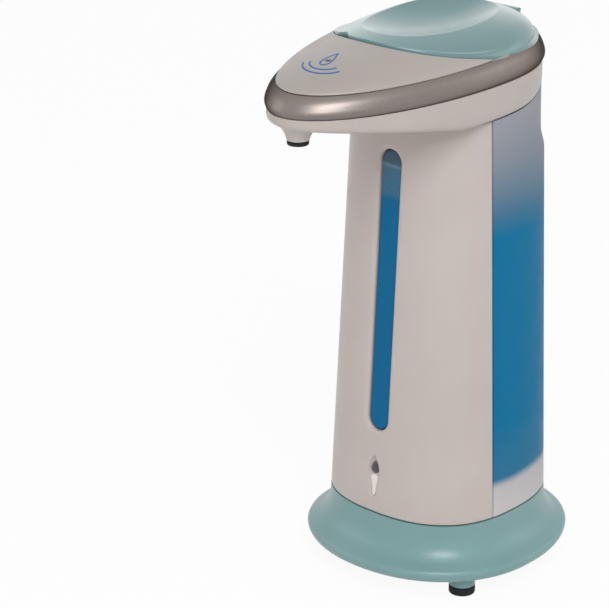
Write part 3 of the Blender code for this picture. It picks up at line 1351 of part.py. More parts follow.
def pump_outline(margin):
    """Two circles round the pump's gears, joined by straight sides, as (x, z) points."""
    radius = PUMP_TEETH * PUMP_MODULE / 2 + GEAR_ADDENDUM_SHARE * PUMP_MODULE + 1.3 * GAP + margin
    right, left = reduction_axis(), idle_axis()
    outline = []
    for centre, start in ((right, -math.pi / 2), (left, math.pi / 2)):
        for step in range(SMALL_ROUND_POINTS // 2 + 1):
            angle = start + math.pi * step / (SMALL_ROUND_POINTS // 2)
            outline.append((centre.x + radius * math.cos(angle), centre.z + radius * math.sin(angle)))
    return outline


def pump_screw_places():
    """Two lugs beside the idle gear, clear of the pump's cavity, the reduction gear and the pinion."""
    left = idle_axis()
    places = []
    for degrees, reach in zip(PUMP_LUG_DEGREES, PUMP_LUG_REACHES):
        angle = math.radians(degrees)
        places.append((left.x + reach * math.cos(angle), left.z + reach * math.sin(angle)))
    return places


PUMP_LUG_DEGREES = (152.0, 207.0)
PUMP_LUG_REACHES = (9.8 * MM, 10.8 * MM)


def motor():
    axis = motor_axis()
    half_width, half_height = MOTOR_HALF_WIDTH, MOTOR_HALF_HEIGHT
    outline = []
    for step in range(SMALL_ROUND_POINTS):
        angle = math.tau * (step + 0.5) / SMALL_ROUND_POINTS
        z = min(max(half_width * math.sin(angle), -half_height), half_height)
        outline.append((axis.x + half_width * math.cos(angle), axis.z + z))
    can = upright_slab("motor_can", outline, axis.y, axis.y + MOTOR_LENGTH, "steel")
    nose_length = BRACKET_THICKNESS / 2 + BITE
    nose = (axis.x, axis.y + BITE - nose_length / 2, axis.z)
    join(can, rod("motor_nose", nose, MOTOR_NOSE_RADIUS, nose_length, "Y"))
    cut(can, rod("motor_shaft_hole", tuple(axis), MOTOR_SHAFT_RADIUS + GAP, MOTOR_LENGTH, "Y", points=12))
    shaft_back = axis.y + MOTOR_LENGTH / 3
    pinion_front = gear_front() - GAP
    middle = (axis.x, (shaft_back + pinion_front) / 2, axis.z)
    # The pinion is phased so that a tooth points along the line of centres
    phase = math.radians(GEAR_RISE_DEGREES)
    pinion = gear("motor_pinion", (axis.x, gear_front(), axis.z), GEAR_WIDTH, PINION_TEETH, GEAR_MODULE, phase, "brass")
    join(pinion, rod("pinion_shaft", middle, MOTOR_SHAFT_RADIUS, shaft_back - pinion_front, "Y", points=12))
    return place(pinion, axis)


def motor_bracket():
    """A plate that carries motor, pump and drive shaft, on two feet that are screwed to the lower shell."""
    axis, drive = motor_axis(), reduction_axis()
    back = axis.y - GAP
    front = back - BRACKET_THICKNESS
    low = axis.z - MOTOR_HALF_HEIGHT + BRACKET_RISE
    top = axis.z + MOTOR_HALF_HEIGHT
    right = drive.x + PUMP_SHAFT_RADIUS + BRACKET_SHAFT_MARGIN
    plate = box("motor_bracket", (axis.x - MOTOR_HALF_WIDTH - BITE, front, low), (right, back, top), "white")
    for number, (x, y) in enumerate(bracket_screw_places(), 1):
        near, far = sorted((x - math.copysign(BRACKET_FOOT_HALF_WIDTH, x), x + math.copysign(BRACKET_FOOT_HALF_WIDTH, x)))
        inner = axis.x if x < 0 else drive.x
        foot = box(
            f"bracket_foot_{number}", (near, front + BITE / 2, BRACKET_FOOT_HEIGHT),
            (far, y + BRACKET_FOOT_HALF_WIDTH, BRACKET_FOOT_HEIGHT + BRACKET_THICKNESS),
        )
        wing = box(
            f"bracket_wing_{number}", (min(near, inner), front, low + BITE / 2),
            (max(far, inner), back, BRACKET_FOOT_HEIGHT + BRACKET_THICKNESS + BITE),
        )
        join(plate, wing, foot)
    for number, (x, z) in enumerate(pump_screw_places(), 1):
        ahead = pump_cover_back() + GAP
        middle = (x, (front + BITE + ahead) / 2, z)
        join(plate, rod(f"bracket_post_{number}", middle, PUMP_LUG_RADIUS - GAP, front + BITE - ahead, "Y", points=12))
        join(plate, box(
            f"post_pad_{number}", (x - PUMP_LUG_RADIUS, front + GAP, min(z - PUMP_LUG_RADIUS, top - BITE)),
            (x + 2 * PUMP_LUG_RADIUS, back - GAP, z + PUMP_LUG_RADIUS),
        ))
    cut(plate, rod("motor_nose_hole", tuple(axis), MOTOR_NOSE_RADIUS + GAP, 2 * OVERRUN, "Y"))
    cut(plate, rod("bracket_bearing", (drive.x, back, drive.z), PUMP_SHAFT_RADIUS + GAP, OVERRUN, "Y", points=16))
    for number, (x, z) in enumerate(pump_screw_places(), 1):
        cut(plate, rod(f"bracket_hole_{number}", (x, front, z), PUMP_SCREW_RADIUS + GAP, 3 * OVERRUN, "Y", points=12))
    for number, (x, y) in enumerate(bracket_screw_places(), 1):
        cut(plate, rod(f"foot_screw_hole_{number}", (x, y, BRACKET_FOOT_HEIGHT), SCREW_SHANK_RADIUS + GAP, OVERRUN, points=12))
    return plate


def bracket_screw_places():
    y = -MOTOR_FRONT_OFFSET + BRACKET_FOOT_HALF_WIDTH + BITE
    return (-BRACKET_SCREW_LEFT, y), (BRACKET_SCREW_RIGHT, y)


def bracket_fasteners():
    for number, (x, y) in enumerate(bracket_screw_places(), 1):
        seat = BRACKET_FOOT_HEIGHT + BRACKET_THICKNESS + GAP
        screw(f"bracket_screw_{number}", x, y, seat, BRACKET_THICKNESS + BRACKET_SCREW_BITE, upward=False)


def drive_train():
    axis, idle = reduction_axis(), idle_axis()
    phase = math.pi + math.radians(GEAR_RISE_DEGREES) + math.pi / REDUCTION_TEETH
    front = gear_front()
    wheel = gear("reduction_gear", (axis.x, front, axis.z), GEAR_WIDTH, REDUCTION_TEETH, GEAR_MODULE, phase, "nylon")
    shaft_back = -MOTOR_FRONT_OFFSET - GAP
    shaft_front = pump_back() - PUMP_GEAR_WIDTH
    middle = (axis.x, (shaft_back + shaft_front) / 2, axis.z)
    join(wheel, rod("drive_shaft", middle, PUMP_SHAFT_RADIUS, shaft_back - shaft_front, "Y", points=16))
    place(wheel, Vector((axis.x, front, axis.z)))
    gear_back = pump_back() - GAP
    drive = gear(
        "pump_drive_gear", (axis.x, gear_back - PUMP_GEAR_WIDTH, axis.z), PUMP_GEAR_WIDTH,
        PUMP_TEETH, PUMP_MODULE, math.pi, "nylon",
    )
    cut(drive, rod("drive_gear_bore", (axis.x, gear_back, axis.z), PUMP_SHAFT_RADIUS + GAP, 4 * OVERRUN, "Y", points=16))
    place(drive, Vector((axis.x, gear_back, axis.z)))
    follower = gear(
        "pump_idle_gear", (idle.x, gear_back - PUMP_GEAR_WIDTH, idle.z), PUMP_GEAR_WIDTH,
        PUMP_TEETH, PUMP_MODULE, math.pi / PUMP_TEETH, "nylon",
    )
    stub_front = gear_back - PUMP_GEAR_WIDTH - PUMP_WALL / 2
    stub_back = gear_back + PUMP_COVER_THICKNESS / 2
    middle = (idle.x, (stub_front + stub_back) / 2, idle.z)
    join(follower, rod("idle_stub", middle, PUMP_SHAFT_RADIUS, stub_back - stub_front, "Y", points=16))
    return place(follower, Vector((idle.x, gear_back, idle.z)))


def pump():
    axis, idle = reduction_axis(), idle_axis()
    front, back = pump_front(), pump_back()
    body = upright_slab("pump_body", pump_outline(PUMP_WALL), front, back, "white")
    cover = upright_slab(
        "pump_cover", pump_outline(PUMP_WALL), pump_cover_back() - PUMP_COVER_THICKNESS, pump_cover_back(), "white",
    )
    for number, (x, z) in enumerate(pump_screw_places(), 1):
        lug_depth = 2 * PUMP_COVER_THICKNESS
        centre_x = mix(x, (axis.x + idle.x) / 2, 0.5)
        join(body, rod(f"body_lug_{number}", (x, back - lug_depth / 2, z), PUMP_LUG_RADIUS, lug_depth, "Y", points=14))
        join(body, box(
            f"body_lug_web_{number}", (min(x, centre_x), back - lug_depth, z - PUMP_LUG_RADIUS / 2),
            (max(x, centre_x), back, z + PUMP_LUG_RADIUS / 2),
        ))
        cover_y = pump_cover_back() - PUMP_COVER_THICKNESS / 2
        join(cover, rod(f"cover_lug_{number}", (x, cover_y, z), PUMP_LUG_RADIUS, PUMP_COVER_THICKNESS, "Y", points=14))
        join(cover, box(
            f"cover_lug_web_{number}", (min(x, centre_x), cover_y - PUMP_COVER_THICKNESS / 2, z - PUMP_LUG_RADIUS / 2),
            (max(x, centre_x), cover_y + PUMP_COVER_THICKNESS / 2, z + PUMP_LUG_RADIUS / 2),
        ))
    for name, (x, z) in (("inlet", pump_port(1)), ("outlet", pump_port(-1))):
        length = PUMP_PORT_HEIGHT + PUMP_WALL / 2
        port = rod(f"pump_{name}", (x, front + PUMP_WALL / 2 - length / 2, z), PUMP_PORT_RADIUS, length, "Y", points=14)
        join(body, port)
    cut(body, upright_slab("pump_cavity", pump_outline(0), front + PUMP_WALL, back + OVERRUN))
    for name, (x, z) in (("inlet", pump_port(1)), ("outlet", pump_port(-1))):
        cut(body, rod(f"{name}_bore", (x, front, z), PUMP_PORT_RADIUS / 2, 2 * OVERRUN, "Y", points=10))
    for name, centre in (("drive", axis), ("idle", idle)):
        hole = rod(f"{name}_shaft_hole", (centre.x, front + PUMP_WALL, centre.z), PUMP_SHAFT_RADIUS + GAP, PUMP_WALL * 1.4, "Y", points=16)
        cut(body, hole)
        through = (centre.x, pump_cover_back(), centre.z)
        cut(cover, rod(f"{name}_cover_hole", through, PUMP_SHAFT_RADIUS + GAP, 2 * OVERRUN, "Y", points=16))
    for number, (x, z) in enumerate(pump_screw_places(), 1):
        for piece in (body, cover):
            cut(piece, rod(
                f"{piece.name}_screw_hole_{number}", (x, back, z), PUMP_SCREW_RADIUS + GAP, 3 * OVERRUN, "Y", points=12,
            ))
        head_front = back - 2 * PUMP_COVER_THICKNESS - GAP
        length = head_front - (-MOTOR_FRONT_OFFSET - GAP)
        profile = (
            (0, 0), (2 * PUMP_SCREW_RADIUS, 0), (2 * PUMP_SCREW_RADIUS, -PUMP_SCREW_RADIUS),
            (PUMP_SCREW_RADIUS, -PUMP_SCREW_RADIUS), (PUMP_SCREW_RADIUS, length - PUMP_SCREW_RADIUS),
            (0, length - PUMP_SCREW_RADIUS),
        )
        bolt = turned(f"pump_screw_{number}", profile, "steel", 12)
        bolt.rotation_euler = (math.pi / 2, 0, 0)
        bolt.location = (x, head_front - PUMP_SCREW_RADIUS, z)
    return cover


def hoses():
    x, z = pump_port(1)
    start_y = pump_front() - PUMP_PORT_HEIGHT - 2 * GAP
    lugs = pump_screw_places()
    side = min(lug_x for lug_x, _ in lugs) - PUMP_LUG_RADIUS
    between_lugs = sum(lug_z for _, lug_z in lugs) / len(lugs)
    outside = side - 0.7 * HOSE_RADIUS
    tube_top = dip_tube_top() + 2 * GAP
    bend = 2 * HOSE_RADIUS
    tube("suction_hose", (
        (x, start_y, z), (x, start_y - bend / 4, z), (x - bend / 4, start_y - 0.7 * bend, z),
        (x - bend, start_y - bend, z), (x - 2.6 * bend, start_y - 0.8 * bend, mix(z, between_lugs, 0.3)),
        (mix(x, side, 0.88), pump_front(), mix(z, between_lugs, 0.7)),
        (side, pump_back() - PUMP_COVER_THICKNESS, between_lugs), (outside, -MOTOR_FRONT_OFFSET - GAP, between_lugs),
        (outside, -MOTOR_FRONT_OFFSET + MOTOR_LENGTH / 2, mix(between_lugs, MOTOR_AXIS_HEIGHT, 0.6)),
        (side, -MOTOR_FRONT_OFFSET + MOTOR_LENGTH, MOTOR_AXIS_HEIGHT),
        (side * 0.7, -DIP_TUBE_FRONT_OFFSET - 1.5 * bend, tube_top + bend),
        (side * 0.2, -DIP_TUBE_FRONT_OFFSET - bend / 4, tube_top + 1.6 * bend),
        (0, -DIP_TUBE_FRONT_OFFSET, tube_top + bend / 2), (0, -DIP_TUBE_FRONT_OFFSET, tube_top),
    ), HOSE_RADIUS, "clear_tube")
    x, z = pump_port(-1)
    stem_top = NOZZLE_BOSS_BOTTOM - GAP + NOZZLE_STEM_HEIGHT + 2 * GAP
    tube("outlet_tube", (
        (x, start_y, z), (x, start_y - bend / 3, z),
        (x / 2, mix(start_y, -NOZZLE_REACH, 0.5), stem_top + 1.1 * bend),
        (0, -NOZZLE_REACH + bend / 4, stem_top + bend), (0, -NOZZLE_REACH, stem_top + bend / 2),
        (0, -NOZZLE_REACH, stem_top),
    ), HOSE_RADIUS * 0.8, "clear_tube")


def head_fasteners():
    for number, (x, y) in enumerate(head_screw_places(), 1):
        screw(f"head_screw_{number}", x, y, head_screw_seat(x, y), HEAD_SCREW_LENGTH, upward=False)


# The whole dispenser

fresh_scene()
MATERIALS = {
    "white": material("white_abs", (0.62, 0.58, 0.56), 0.35),
    "teal": material("pale_teal_abs", (0.25, 0.44, 0.43), 0.35),
    "silver": material("silver_paint", (0.45, 0.44, 0.43), 0.3, 0.8),
    "clear_tank": material("clear_tank_plastic", (0.35, 0.45, 0.55), 0.2, 0.0, 0.6),
    "soap": material("blue_soap", (0.0, 0.15, 0.35), 0.2, 0.0, 0.3),
    "clear_tube": material("clear_tube_plastic", (0.6, 0.62, 0.62), 0.3, 0.0, 0.6),
    "rubber": material("black_rubber", (0.02, 0.025, 0.025), 0.7),
    "dark_lens": material("dark_lens_plastic", (0.03, 0.02, 0.03), 0.1),
    "dark_plastic": material("black_plastic", (0.03, 0.03, 0.03), 0.45),
    "steel": material("plated_steel", (0.55, 0.55, 0.55), 0.25, 1.0),
    "brass": material("brass", (0.55, 0.38, 0.14), 0.3, 1.0),
    "nylon": material("white_nylon", (0.7, 0.68, 0.62), 0.5),
    "board_green": material("green_circuit_board", (0.02, 0.16, 0.06), 0.4),
}

base_skirt()
base_plate()
battery_door()
batteries()
base_fasteners()
rubber_feet()
power_switch()
boards()
sensor()
motor_leads()
hull_space()
front_casing()
soap_tank()
soap_fill()
dip_tube()
head_lower_shell()
trim_band()
head_top_shell()
status_light()
filler_tray()
hinge_pin()
neck_gasket()
fill_lid()
nozzle_tip()
motor()
motor_bracket()
drive_train()
pump()
hoses()
head_fasteners()
bracket_fasteners()
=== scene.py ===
# %% [markdown]
# # An automatic soap dispenser, dressed for a photograph
# The solids come from a CAD part. This lesson gives each visible shell a finer surface, worked out with
# numpy from the same sizes, and each piece the finish that it has on the real object.

# %% Load the solids
import math

import bmesh
import bpy
import numpy as np
from mathutils import Matrix, Vector


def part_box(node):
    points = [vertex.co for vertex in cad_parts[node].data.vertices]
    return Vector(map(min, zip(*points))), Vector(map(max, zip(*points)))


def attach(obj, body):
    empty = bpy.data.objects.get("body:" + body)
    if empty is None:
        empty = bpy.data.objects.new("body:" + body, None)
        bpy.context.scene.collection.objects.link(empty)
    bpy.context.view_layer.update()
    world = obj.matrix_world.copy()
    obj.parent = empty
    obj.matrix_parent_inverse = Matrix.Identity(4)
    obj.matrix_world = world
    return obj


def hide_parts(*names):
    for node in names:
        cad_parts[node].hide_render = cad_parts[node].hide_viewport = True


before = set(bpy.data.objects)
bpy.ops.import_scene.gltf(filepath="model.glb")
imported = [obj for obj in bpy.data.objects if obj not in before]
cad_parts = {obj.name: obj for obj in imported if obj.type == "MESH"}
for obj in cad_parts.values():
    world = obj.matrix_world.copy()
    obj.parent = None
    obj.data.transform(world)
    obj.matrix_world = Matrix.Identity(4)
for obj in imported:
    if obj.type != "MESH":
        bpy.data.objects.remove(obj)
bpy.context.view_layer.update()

# %% [markdown]
# ## Where things are
# Every shape below is worked out in millimetres from the upright axis of the column. The nozzle hangs
# 70 mm in front of that axis, so the nozzle's own box says where the axis is in the frame.

# %% Find the column's axis
MM = 0.001
NOZZLE_REACH = 70.0
nozzle_low, nozzle_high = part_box("nozzle_tip")
AXIS_Y = (nozzle_low.y + nozzle_high.y) / 2 + NOZZLE_REACH * MM
print("column axis at y =", round(AXIS_Y / MM, 2), "mm")

# %% [markdown]
# ## From a grid of points to a mesh
# A shell is a grid: its rows are rings round the shell, and its columns run along it. Each cell of the
# grid becomes one face. An end row that is drawn together to one point closes the shell there, and a
# last row that repeats the first closes it on itself, once points in the same place are welded.

# %% Helpers that make a mesh
WELD_MM = 0.002
SHARP_DEGREES = 38


def faces_of(rows, columns, wrap):
    """Corner numbers of every cell: a point, its neighbour in the ring, and the same two one row on."""
    ids = np.arange(rows * columns).reshape(rows, columns)
    near, far = (ids, np.roll(ids, -1, 1)) if wrap else (ids[:, :-1], ids[:, 1:])
    return np.stack([near[:-1], far[:-1], far[1:], near[1:]], -1).reshape(-1, 4)


def drawn_together(ring):
    """A ring's points all moved to their middle, which closes a shell with a pole."""
    return np.broadcast_to(ring.mean(0), ring.shape)


def with_poles(rows):
    """Rings with both ends drawn together."""
    return np.concatenate([drawn_together(rows[0])[None], rows, drawn_together(rows[-1])[None]])


def mesh_of(name, grids, wrap=True):
    """One mesh from several grids: each is welded, and turned over where its volume comes out negative."""
    whole = bmesh.new()
    for grid in grids:
        points = grid.reshape(-1, 3) * MM + (0, AXIS_Y, 0)
        faces = faces_of(*grid.shape[:2], wrap)
        mesh = bpy.data.meshes.new(name)
        mesh.vertices.add(len(points))
        mesh.vertices.foreach_set("co", points.ravel())
        mesh.loops.add(faces.size)
        mesh.loops.foreach_set("vertex_index", faces.ravel())
        mesh.polygons.add(len(faces))
        mesh.polygons.foreach_set("loop_start", np.arange(0, faces.size, 4))
        mesh.update(calc_edges=True)
        single = bmesh.new()
        single.from_mesh(mesh)
        bmesh.ops.remove_doubles(single, verts=single.verts, dist=WELD_MM * MM)
        if single.calc_volume(signed=True) < 0:
            bmesh.ops.reverse_faces(single, faces=single.faces)
        single.to_mesh(mesh)
        single.free()
        whole.from_mesh(mesh)
        bpy.data.meshes.remove(mesh)
    mesh = bpy.data.meshes.new(name)
    whole.to_mesh(mesh)
    whole.free()
    mesh.polygons.foreach_set("use_smooth", np.ones(len(mesh.polygons), bool))
    mesh.set_sharp_from_angle(angle=math.radians(SHARP_DEGREES))
    return mesh


def piece(name, grids, finish, nodes=(), body="dispenser", wrap=True):
    """A finished piece: its mesh, its material, the body it moves with and the nodes it stands for."""
    obj = bpy.data.objects.new(name, mesh_of(name, grids, wrap))
    bpy.context.scene.collection.objects.link(obj)
    obj.data.materials.append(finish)
    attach(obj, body)
    if nodes:
        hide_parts(*nodes)
    print(f"{name}: {len(obj.data.polygons)} faces")
    return obj


print("faces in 3 rings of 4 points:", len(faces_of(3, 4, wrap=True)))

# %% [markdown]
# ## Adding nodes to a material
# One small function adds a shader node, sets it and links it, so each material below reads as a list
# of what its surface is made of. Colours are written as sRGB hex values, as a paint chart gives them,
# and turned linear once here, because Blender mixes light in linear numbers.

# %% Helpers that make a material
def linear(hex_colour):
    """sRGB to linear: ((c + 0.055) / 1.055) ^ 2.4 for a channel over 0.04045, and c / 12.92 for the rest."""
    channels = np.array([int(hex_colour[i:i + 2], 16) for i in (1, 3, 5)]) / 255
    lit = np.where(channels > 0.04045, ((channels + 0.055) / 1.055) ** 2.4, channels / 12.92)
    return (*lit.tolist(), 1.0)


def add_node(tree, kind, inputs=None, **settings):
    """Adds a node. Settings are its own properties; inputs are values to set or sockets to link, by name."""
    made = tree.nodes.new(kind)
    for name, value in settings.items():
        setattr(made, name, value)
    for name, value in (inputs or {}).items():
        if isinstance(value, bpy.types.NodeSocket):
            tree.links.new(value, made.inputs[name])
        else:
            made.inputs[name].default_value = value
    return made


def new_material(name, colour_on_screen, **shader_inputs):
    """An empty material with its own Principled shader, whose sockets hold the constants."""
    made = bpy.data.materials.new(name)
    made.use_nodes = True
    made.diffuse_color = linear(colour_on_screen)
    tree = made.node_tree
    shader = tree.nodes["Principled BSDF"]
    shader.inputs["Base Color"].default_value = linear(colour_on_screen)
    for socket, value in shader_inputs.items():
        shader.inputs[socket.replace("_", " ")].default_value = value
    return made, tree, shader


def place_of(tree):
    """The point on the object, in metres: patterns that read it stay put when the piece moves."""
    return add_node(tree, "ShaderNodeTexCoord").outputs["Object"]


NOISE_LOW, NOISE_HIGH = 0.3, 0.7  # most of a noise node's values lie between these


def drift(tree, where, size_mm, low, high, detail=3.0):
    """A value that wanders between low and high in blotches about this many millimetres across."""
    scale = 1 / (size_mm * MM)
    cloud = add_node(tree, "ShaderNodeTexNoise", {"Vector": where, "Scale": scale, "Detail": detail})
    return add_node(tree, "ShaderNodeMapRange", {
        "Value": cloud.outputs["Fac"], "From Min": NOISE_LOW, "From Max": NOISE_HIGH,
        "To Min": low, "To Max": high,
    }).outputs["Result"]


def clouded(tree, shader, share, first, last):
    """Base colour from first to last by a share; a Mix node's colour sockets are its numbers 0, 6 and 7."""
    mixed = add_node(tree, "ShaderNodeMix", {0: share, 6: linear(first), 7: linear(last)}, data_type="RGBA")
    tree.links.new(mixed.outputs[2], shader.inputs["Base Color"])


def grained(tree, shader, where, size_mm, strength, depth_mm=0.05):
    """A fine moulded grain: noise of a real size and depth, turned into small tilts of the surface."""
    scale = 1 / (size_mm * MM)
    grain = add_node(tree, "ShaderNodeTexNoise", {"Vector": where, "Scale": scale, "Detail": 2.0})
    bump = add_node(tree, "ShaderNodeBump", {
        "Height": grain.outputs["Fac"], "Distance": depth_mm * MM, "Strength": strength})
    tree.links.new(bump.outputs["Normal"], shader.inputs["Normal"])


def patterned(name, on_screen, first, last, cloud, gloss, grain=None, stretch=None, **constants):
    """Colour drifts from first to last. The rest are arguments of the functions above, in their order:
    cloud is (size in mm, low, high, detail), gloss the same for roughness, grain (size, strength, depth)."""
    made, tree, shader = new_material(name, on_screen, **constants)
    where = place_of(tree)
    if stretch:
        where = add_node(tree, "ShaderNodeMapping", {"Vector": where, "Scale": stretch}).outputs["Vector"]
    clouded(tree, shader, drift(tree, where, *cloud), first, last)
    tree.links.new(drift(tree, where, *gloss), shader.inputs["Roughness"])
    if grain:
        grained(tree, shader, where, *grain)
    return made


print("half grey, 128 of 255, is linear", round(linear("#808080")[0], 3))

# %% [markdown]
# ## Moulded plastics
# The casing, head and base are injection-moulded ABS, a tough opaque plastic with a refractive index
# near 1.54. The mould is spark-eroded to a fine satin, so highlights are soft. Three things give that
# away to the eye: a grain of about a third of a millimetre, a slow drift in gloss where the plastic
# cooled at different rates, and colour that is never quite even. One function makes them all. The lid
# comes from a smoother mould, so it has little grain, and a clear coat stands for its polish.

# %% A function for satin moulded plastic
COLOUR_BLOTCH_MM, GLOSS_BLOTCH_MM = 28.0, 9.0


def moulded(name, colour, shade, roughness, grain_mm=0.35, grain_strength=0.12, **constants):
    """Colour drifts to its shade, and roughness between 0.04 less and 0.05 more than the one given."""
    gloss = (GLOSS_BLOTCH_MM, roughness - 0.04, roughness + 0.05, 4.0)
    return patterned(name, colour, colour, shade, (COLOUR_BLOTCH_MM, 0.0, 1.0), gloss,
                     (grain_mm, grain_strength), IOR=1.54, **constants)


WHITE_ABS = moulded("satin_white_abs", "#c2b8b3", "#bdb2ad", 0.36)
# The head's lower shell and the dome are the casing's white ABS drawn darker: painted shade, where the shell's
# underside and the dome's upward faces get less light.
SHELL_ABS_PAINTED_SHADE = moulded("satin_white_abs_head_painted_shade", "#bab2ad", "#b5ada8", 0.38)
DOME_ABS_PAINTED_SHADE = moulded("satin_white_abs_dome_painted_shade", "#aea7a2", "#a8a09b", 0.42)
INLAY_ABS = moulded("gloss_white_abs_inlay", "#e6dfdb", "#e0d9d5", 0.3)
TEAL_ABS = moulded("satin_teal_abs_base", "#7a9fa0", "#759a9b", 0.33)
LID_ABS = moulded(
    "glossy_teal_abs_lid", "#588283", "#547e80", 0.36, grain_strength=0.04,
    Coat_Weight=1.0, Coat_Roughness=0.2, Coat_IOR=1.5,
)
BLACK_ABS = moulded("satin_black_abs", "#2b2b2d", "#242426", 0.42)
BRACKET_ABS = moulded("natural_white_abs", "#dedad2", "#d5d0c6", 0.45)
print("moulded plastics:", [made.name for made in bpy.data.materials if "_abs" in made.name])

# %% [markdown]
# ## The silver trim
# The trim band is plastic too, sprayed with silver paint. Aluminium flakes in the paint lie at
# slightly different angles, which gives a soft metal look with a faint sparkle, and a tint that is
# darker at the band's outlines, where few flakes face the eye. Flakes are about 0.03 mm, too fine to
# see here, so they are drawn as 0.25 mm patches.

# %% Silver flake paint
FLAKE_MM, FLAKE_DEPTH_MM = 0.25, 0.03


def silver_paint():
    """Cells of a Voronoi pattern are the flakes: the distance in a cell sets both the tint and the tilt."""
    made, tree, shader = new_material(
        "silver_flake_paint", "#8b837e", Metallic=0.95, Specular_Tint=linear("#332d2a"))
    where = place_of(tree)
    flakes = add_node(tree, "ShaderNodeTexVoronoi", {"Vector": where, "Scale": 1 / (FLAKE_MM * MM)})
    clouded(tree, shader, flakes.outputs["Distance"], "#918984", "#7b736f")
    tree.links.new(drift(tree, where, 14.0, 0.36, 0.42), shader.inputs["Roughness"])
    bump = add_node(tree, "ShaderNodeBump", {
        "Height": flakes.outputs["Distance"], "Distance": FLAKE_DEPTH_MM * MM, "Strength": 0.1})
    tree.links.new(bump.outputs["Normal"], shader.inputs["Normal"])
    return made


SILVER = silver_paint()
print("silver paint: patches of", FLAKE_MM, "mm")

# %% [markdown]
# ## The tank's frosted plastic and what shows through it
# The tank is translucent polypropylene. It scatters light so strongly that the soap behind it shows
# only as colour: deep blue below the level, pale grey-lilac where the tank is empty, with a blurred
# edge between. Drawing that colour by height keeps it steady from every side and in any light. The
# sight rib that fills the slot is the same plastic, polished, so its soap colours are deeper and its
# level line is crisper. Above the soap its dark grey-blue is painted shade of the dim, empty tank
# behind it, crossed by a thin painted highlight line at 150.2 mm.

# %% Frosted tank plastic by height
SOAP_LEVEL = 139.5


def tank_plastic(name, bands, roughness, grain_strength, blur_mm, **extra):
    """bands are (height in mm, colour) from the bottom up; a little noise in the height blurs their edges."""
    made, tree, shader = new_material(name, bands[len(bands) // 2][1], IOR=1.49, **extra)
    where = place_of(tree)
    height = add_node(tree, "ShaderNodeSeparateXYZ", {"Vector": where}).outputs["Z"]
    shake = drift(tree, where, 20.0, -blur_mm * MM, blur_mm * MM, 2.0)
    shaken = add_node(tree, "ShaderNodeMath", {0: height, 1: shake}, operation="ADD").outputs[0]
    low, high = bands[0][0], bands[-1][0]
    limits = {"Value": shaken, "From Min": low * MM, "From Max": high * MM}
    share = add_node(tree, "ShaderNodeMapRange", limits).outputs["Result"]
    ramp = add_node(tree, "ShaderNodeValToRGB", {"Fac": share})
    stops = ramp.color_ramp.elements
    while len(stops) < len(bands):
        stops.new(0.5)
    for stop, (at, colour) in zip(stops, bands):
        stop.position = (at - low) / (high - low)
        stop.color = linear(colour)
    tree.links.new(ramp.outputs["Color"], shader.inputs["Base Color"])
    tree.links.new(drift(tree, where, 8.0, roughness - 0.05, roughness + 0.05), shader.inputs["Roughness"])
    grained(tree, shader, where, 0.4, grain_strength)
    return made


TANK = tank_plastic("frosted_polypropylene", (
    (26.0, "#cbc6c7"), (36.6, "#c0bcbf"), (39.6, "#2b7296"), (60.0, "#006f9b"), (118.0, "#00709c"),
    (127.0, "#00709b"), (134.0, "#3c7292"), (141.0, "#5f7d93"), (152.0, "#828c99"), (168.0, "#9a9ba2"),
), 0.5, 0.10, 0.4, Specular_IOR_Level=0.12)
# Above the soap level the rib's colours are painted: dark grey-blue painted shade of the empty tank's inside,
# and a pale painted highlight line at 150.2 mm.
SIGHT_SOAP_AND_PAINTED_SHADE = tank_plastic("polished_polypropylene_painted_shade", (
    (54.0, "#006390"), (120.0, "#006391"), (SOAP_LEVEL - 1.0, "#006491"), (SOAP_LEVEL + 1.2, "#3a6f8e"),
    (149.4, "#47718d"), (150.2, "#6a8ca0"), (151.0, "#4c6275"), (158.0, "#44536a"),
), 0.25, 0.02, 0.3, Specular_IOR_Level=0.12)
print("tank colours drawn by height, soap level at", SOAP_LEVEL, "mm")

# %% [markdown]
# ## Rubber, lens, metal and the rest
# The smaller finishes. Rubber is matt and slightly dusty. The lens is dark polycarbonate that only
# infrared passes, polished like glass. Plated steel is bright with fine wear. Brass is a cut bar,
# nylon is waxy, silicone tube is milky and half clear, pad-printed ink is satin, and the soap is a
# deep blue liquid.

# %% The smaller finishes
def metal(name, colour, shade, roughness, scratch_mm):
    """Noise stretched along one axis leaves the fine lines that rolling or turning leaves in metal."""
    gloss = (scratch_mm, roughness - 0.07, roughness + 0.1)
    return patterned(name, colour, colour, shade, (scratch_mm, 0.0, 1.0), gloss,
                     (scratch_mm, 0.15, 0.02), (1.0, 0.06, 1.0), Metallic=1.0)


RUBBER = patterned(
    "matt_black_rubber", "#1b1e20", "#14171a", "#202427",
    (2.5, 0.0, 1.0, 5.0), (2.5, 0.62, 0.8, 5.0), (0.3, 0.3), Specular_IOR_Level=0.25)
LENS = patterned(
    "infrared_polycarbonate", "#241c26", "#1c161f", "#33283a",
    (1.5, 0.0, 1.0, 2.0), (0.8, 0.05, 0.12), IOR=1.585, Coat_Weight=0.5, Coat_Roughness=0.03)
STEEL = metal("nickel_plated_steel", "#c8c6c2", "#b3b0ab", 0.26, 0.3)
BRASS = metal("turned_brass", "#c79a4e", "#b5873f", 0.3, 0.25)
SOAP = patterned(
    "blue_liquid_soap", "#056a97", "#04648f", "#0b76a4", (12.0, 0.0, 1.0), (12.0, 0.06, 0.14), IOR=1.36)
TUBE = patterned(
    "milky_silicone_tube", "#cfd3d2", "#d7dad9", "#c2c8c8",
    (3.0, 0.0, 1.0), (3.0, 0.28, 0.4), IOR=1.41, Transmission_Weight=0.35)
NYLON = moulded("natural_nylon", "#ddd9cc", "#d3cebf", 0.48, 0.5)
BLUE_INK = moulded("pad_printed_blue_ink", "#2f6aa8", "#29629e", 0.5, 0.2, 0.05)
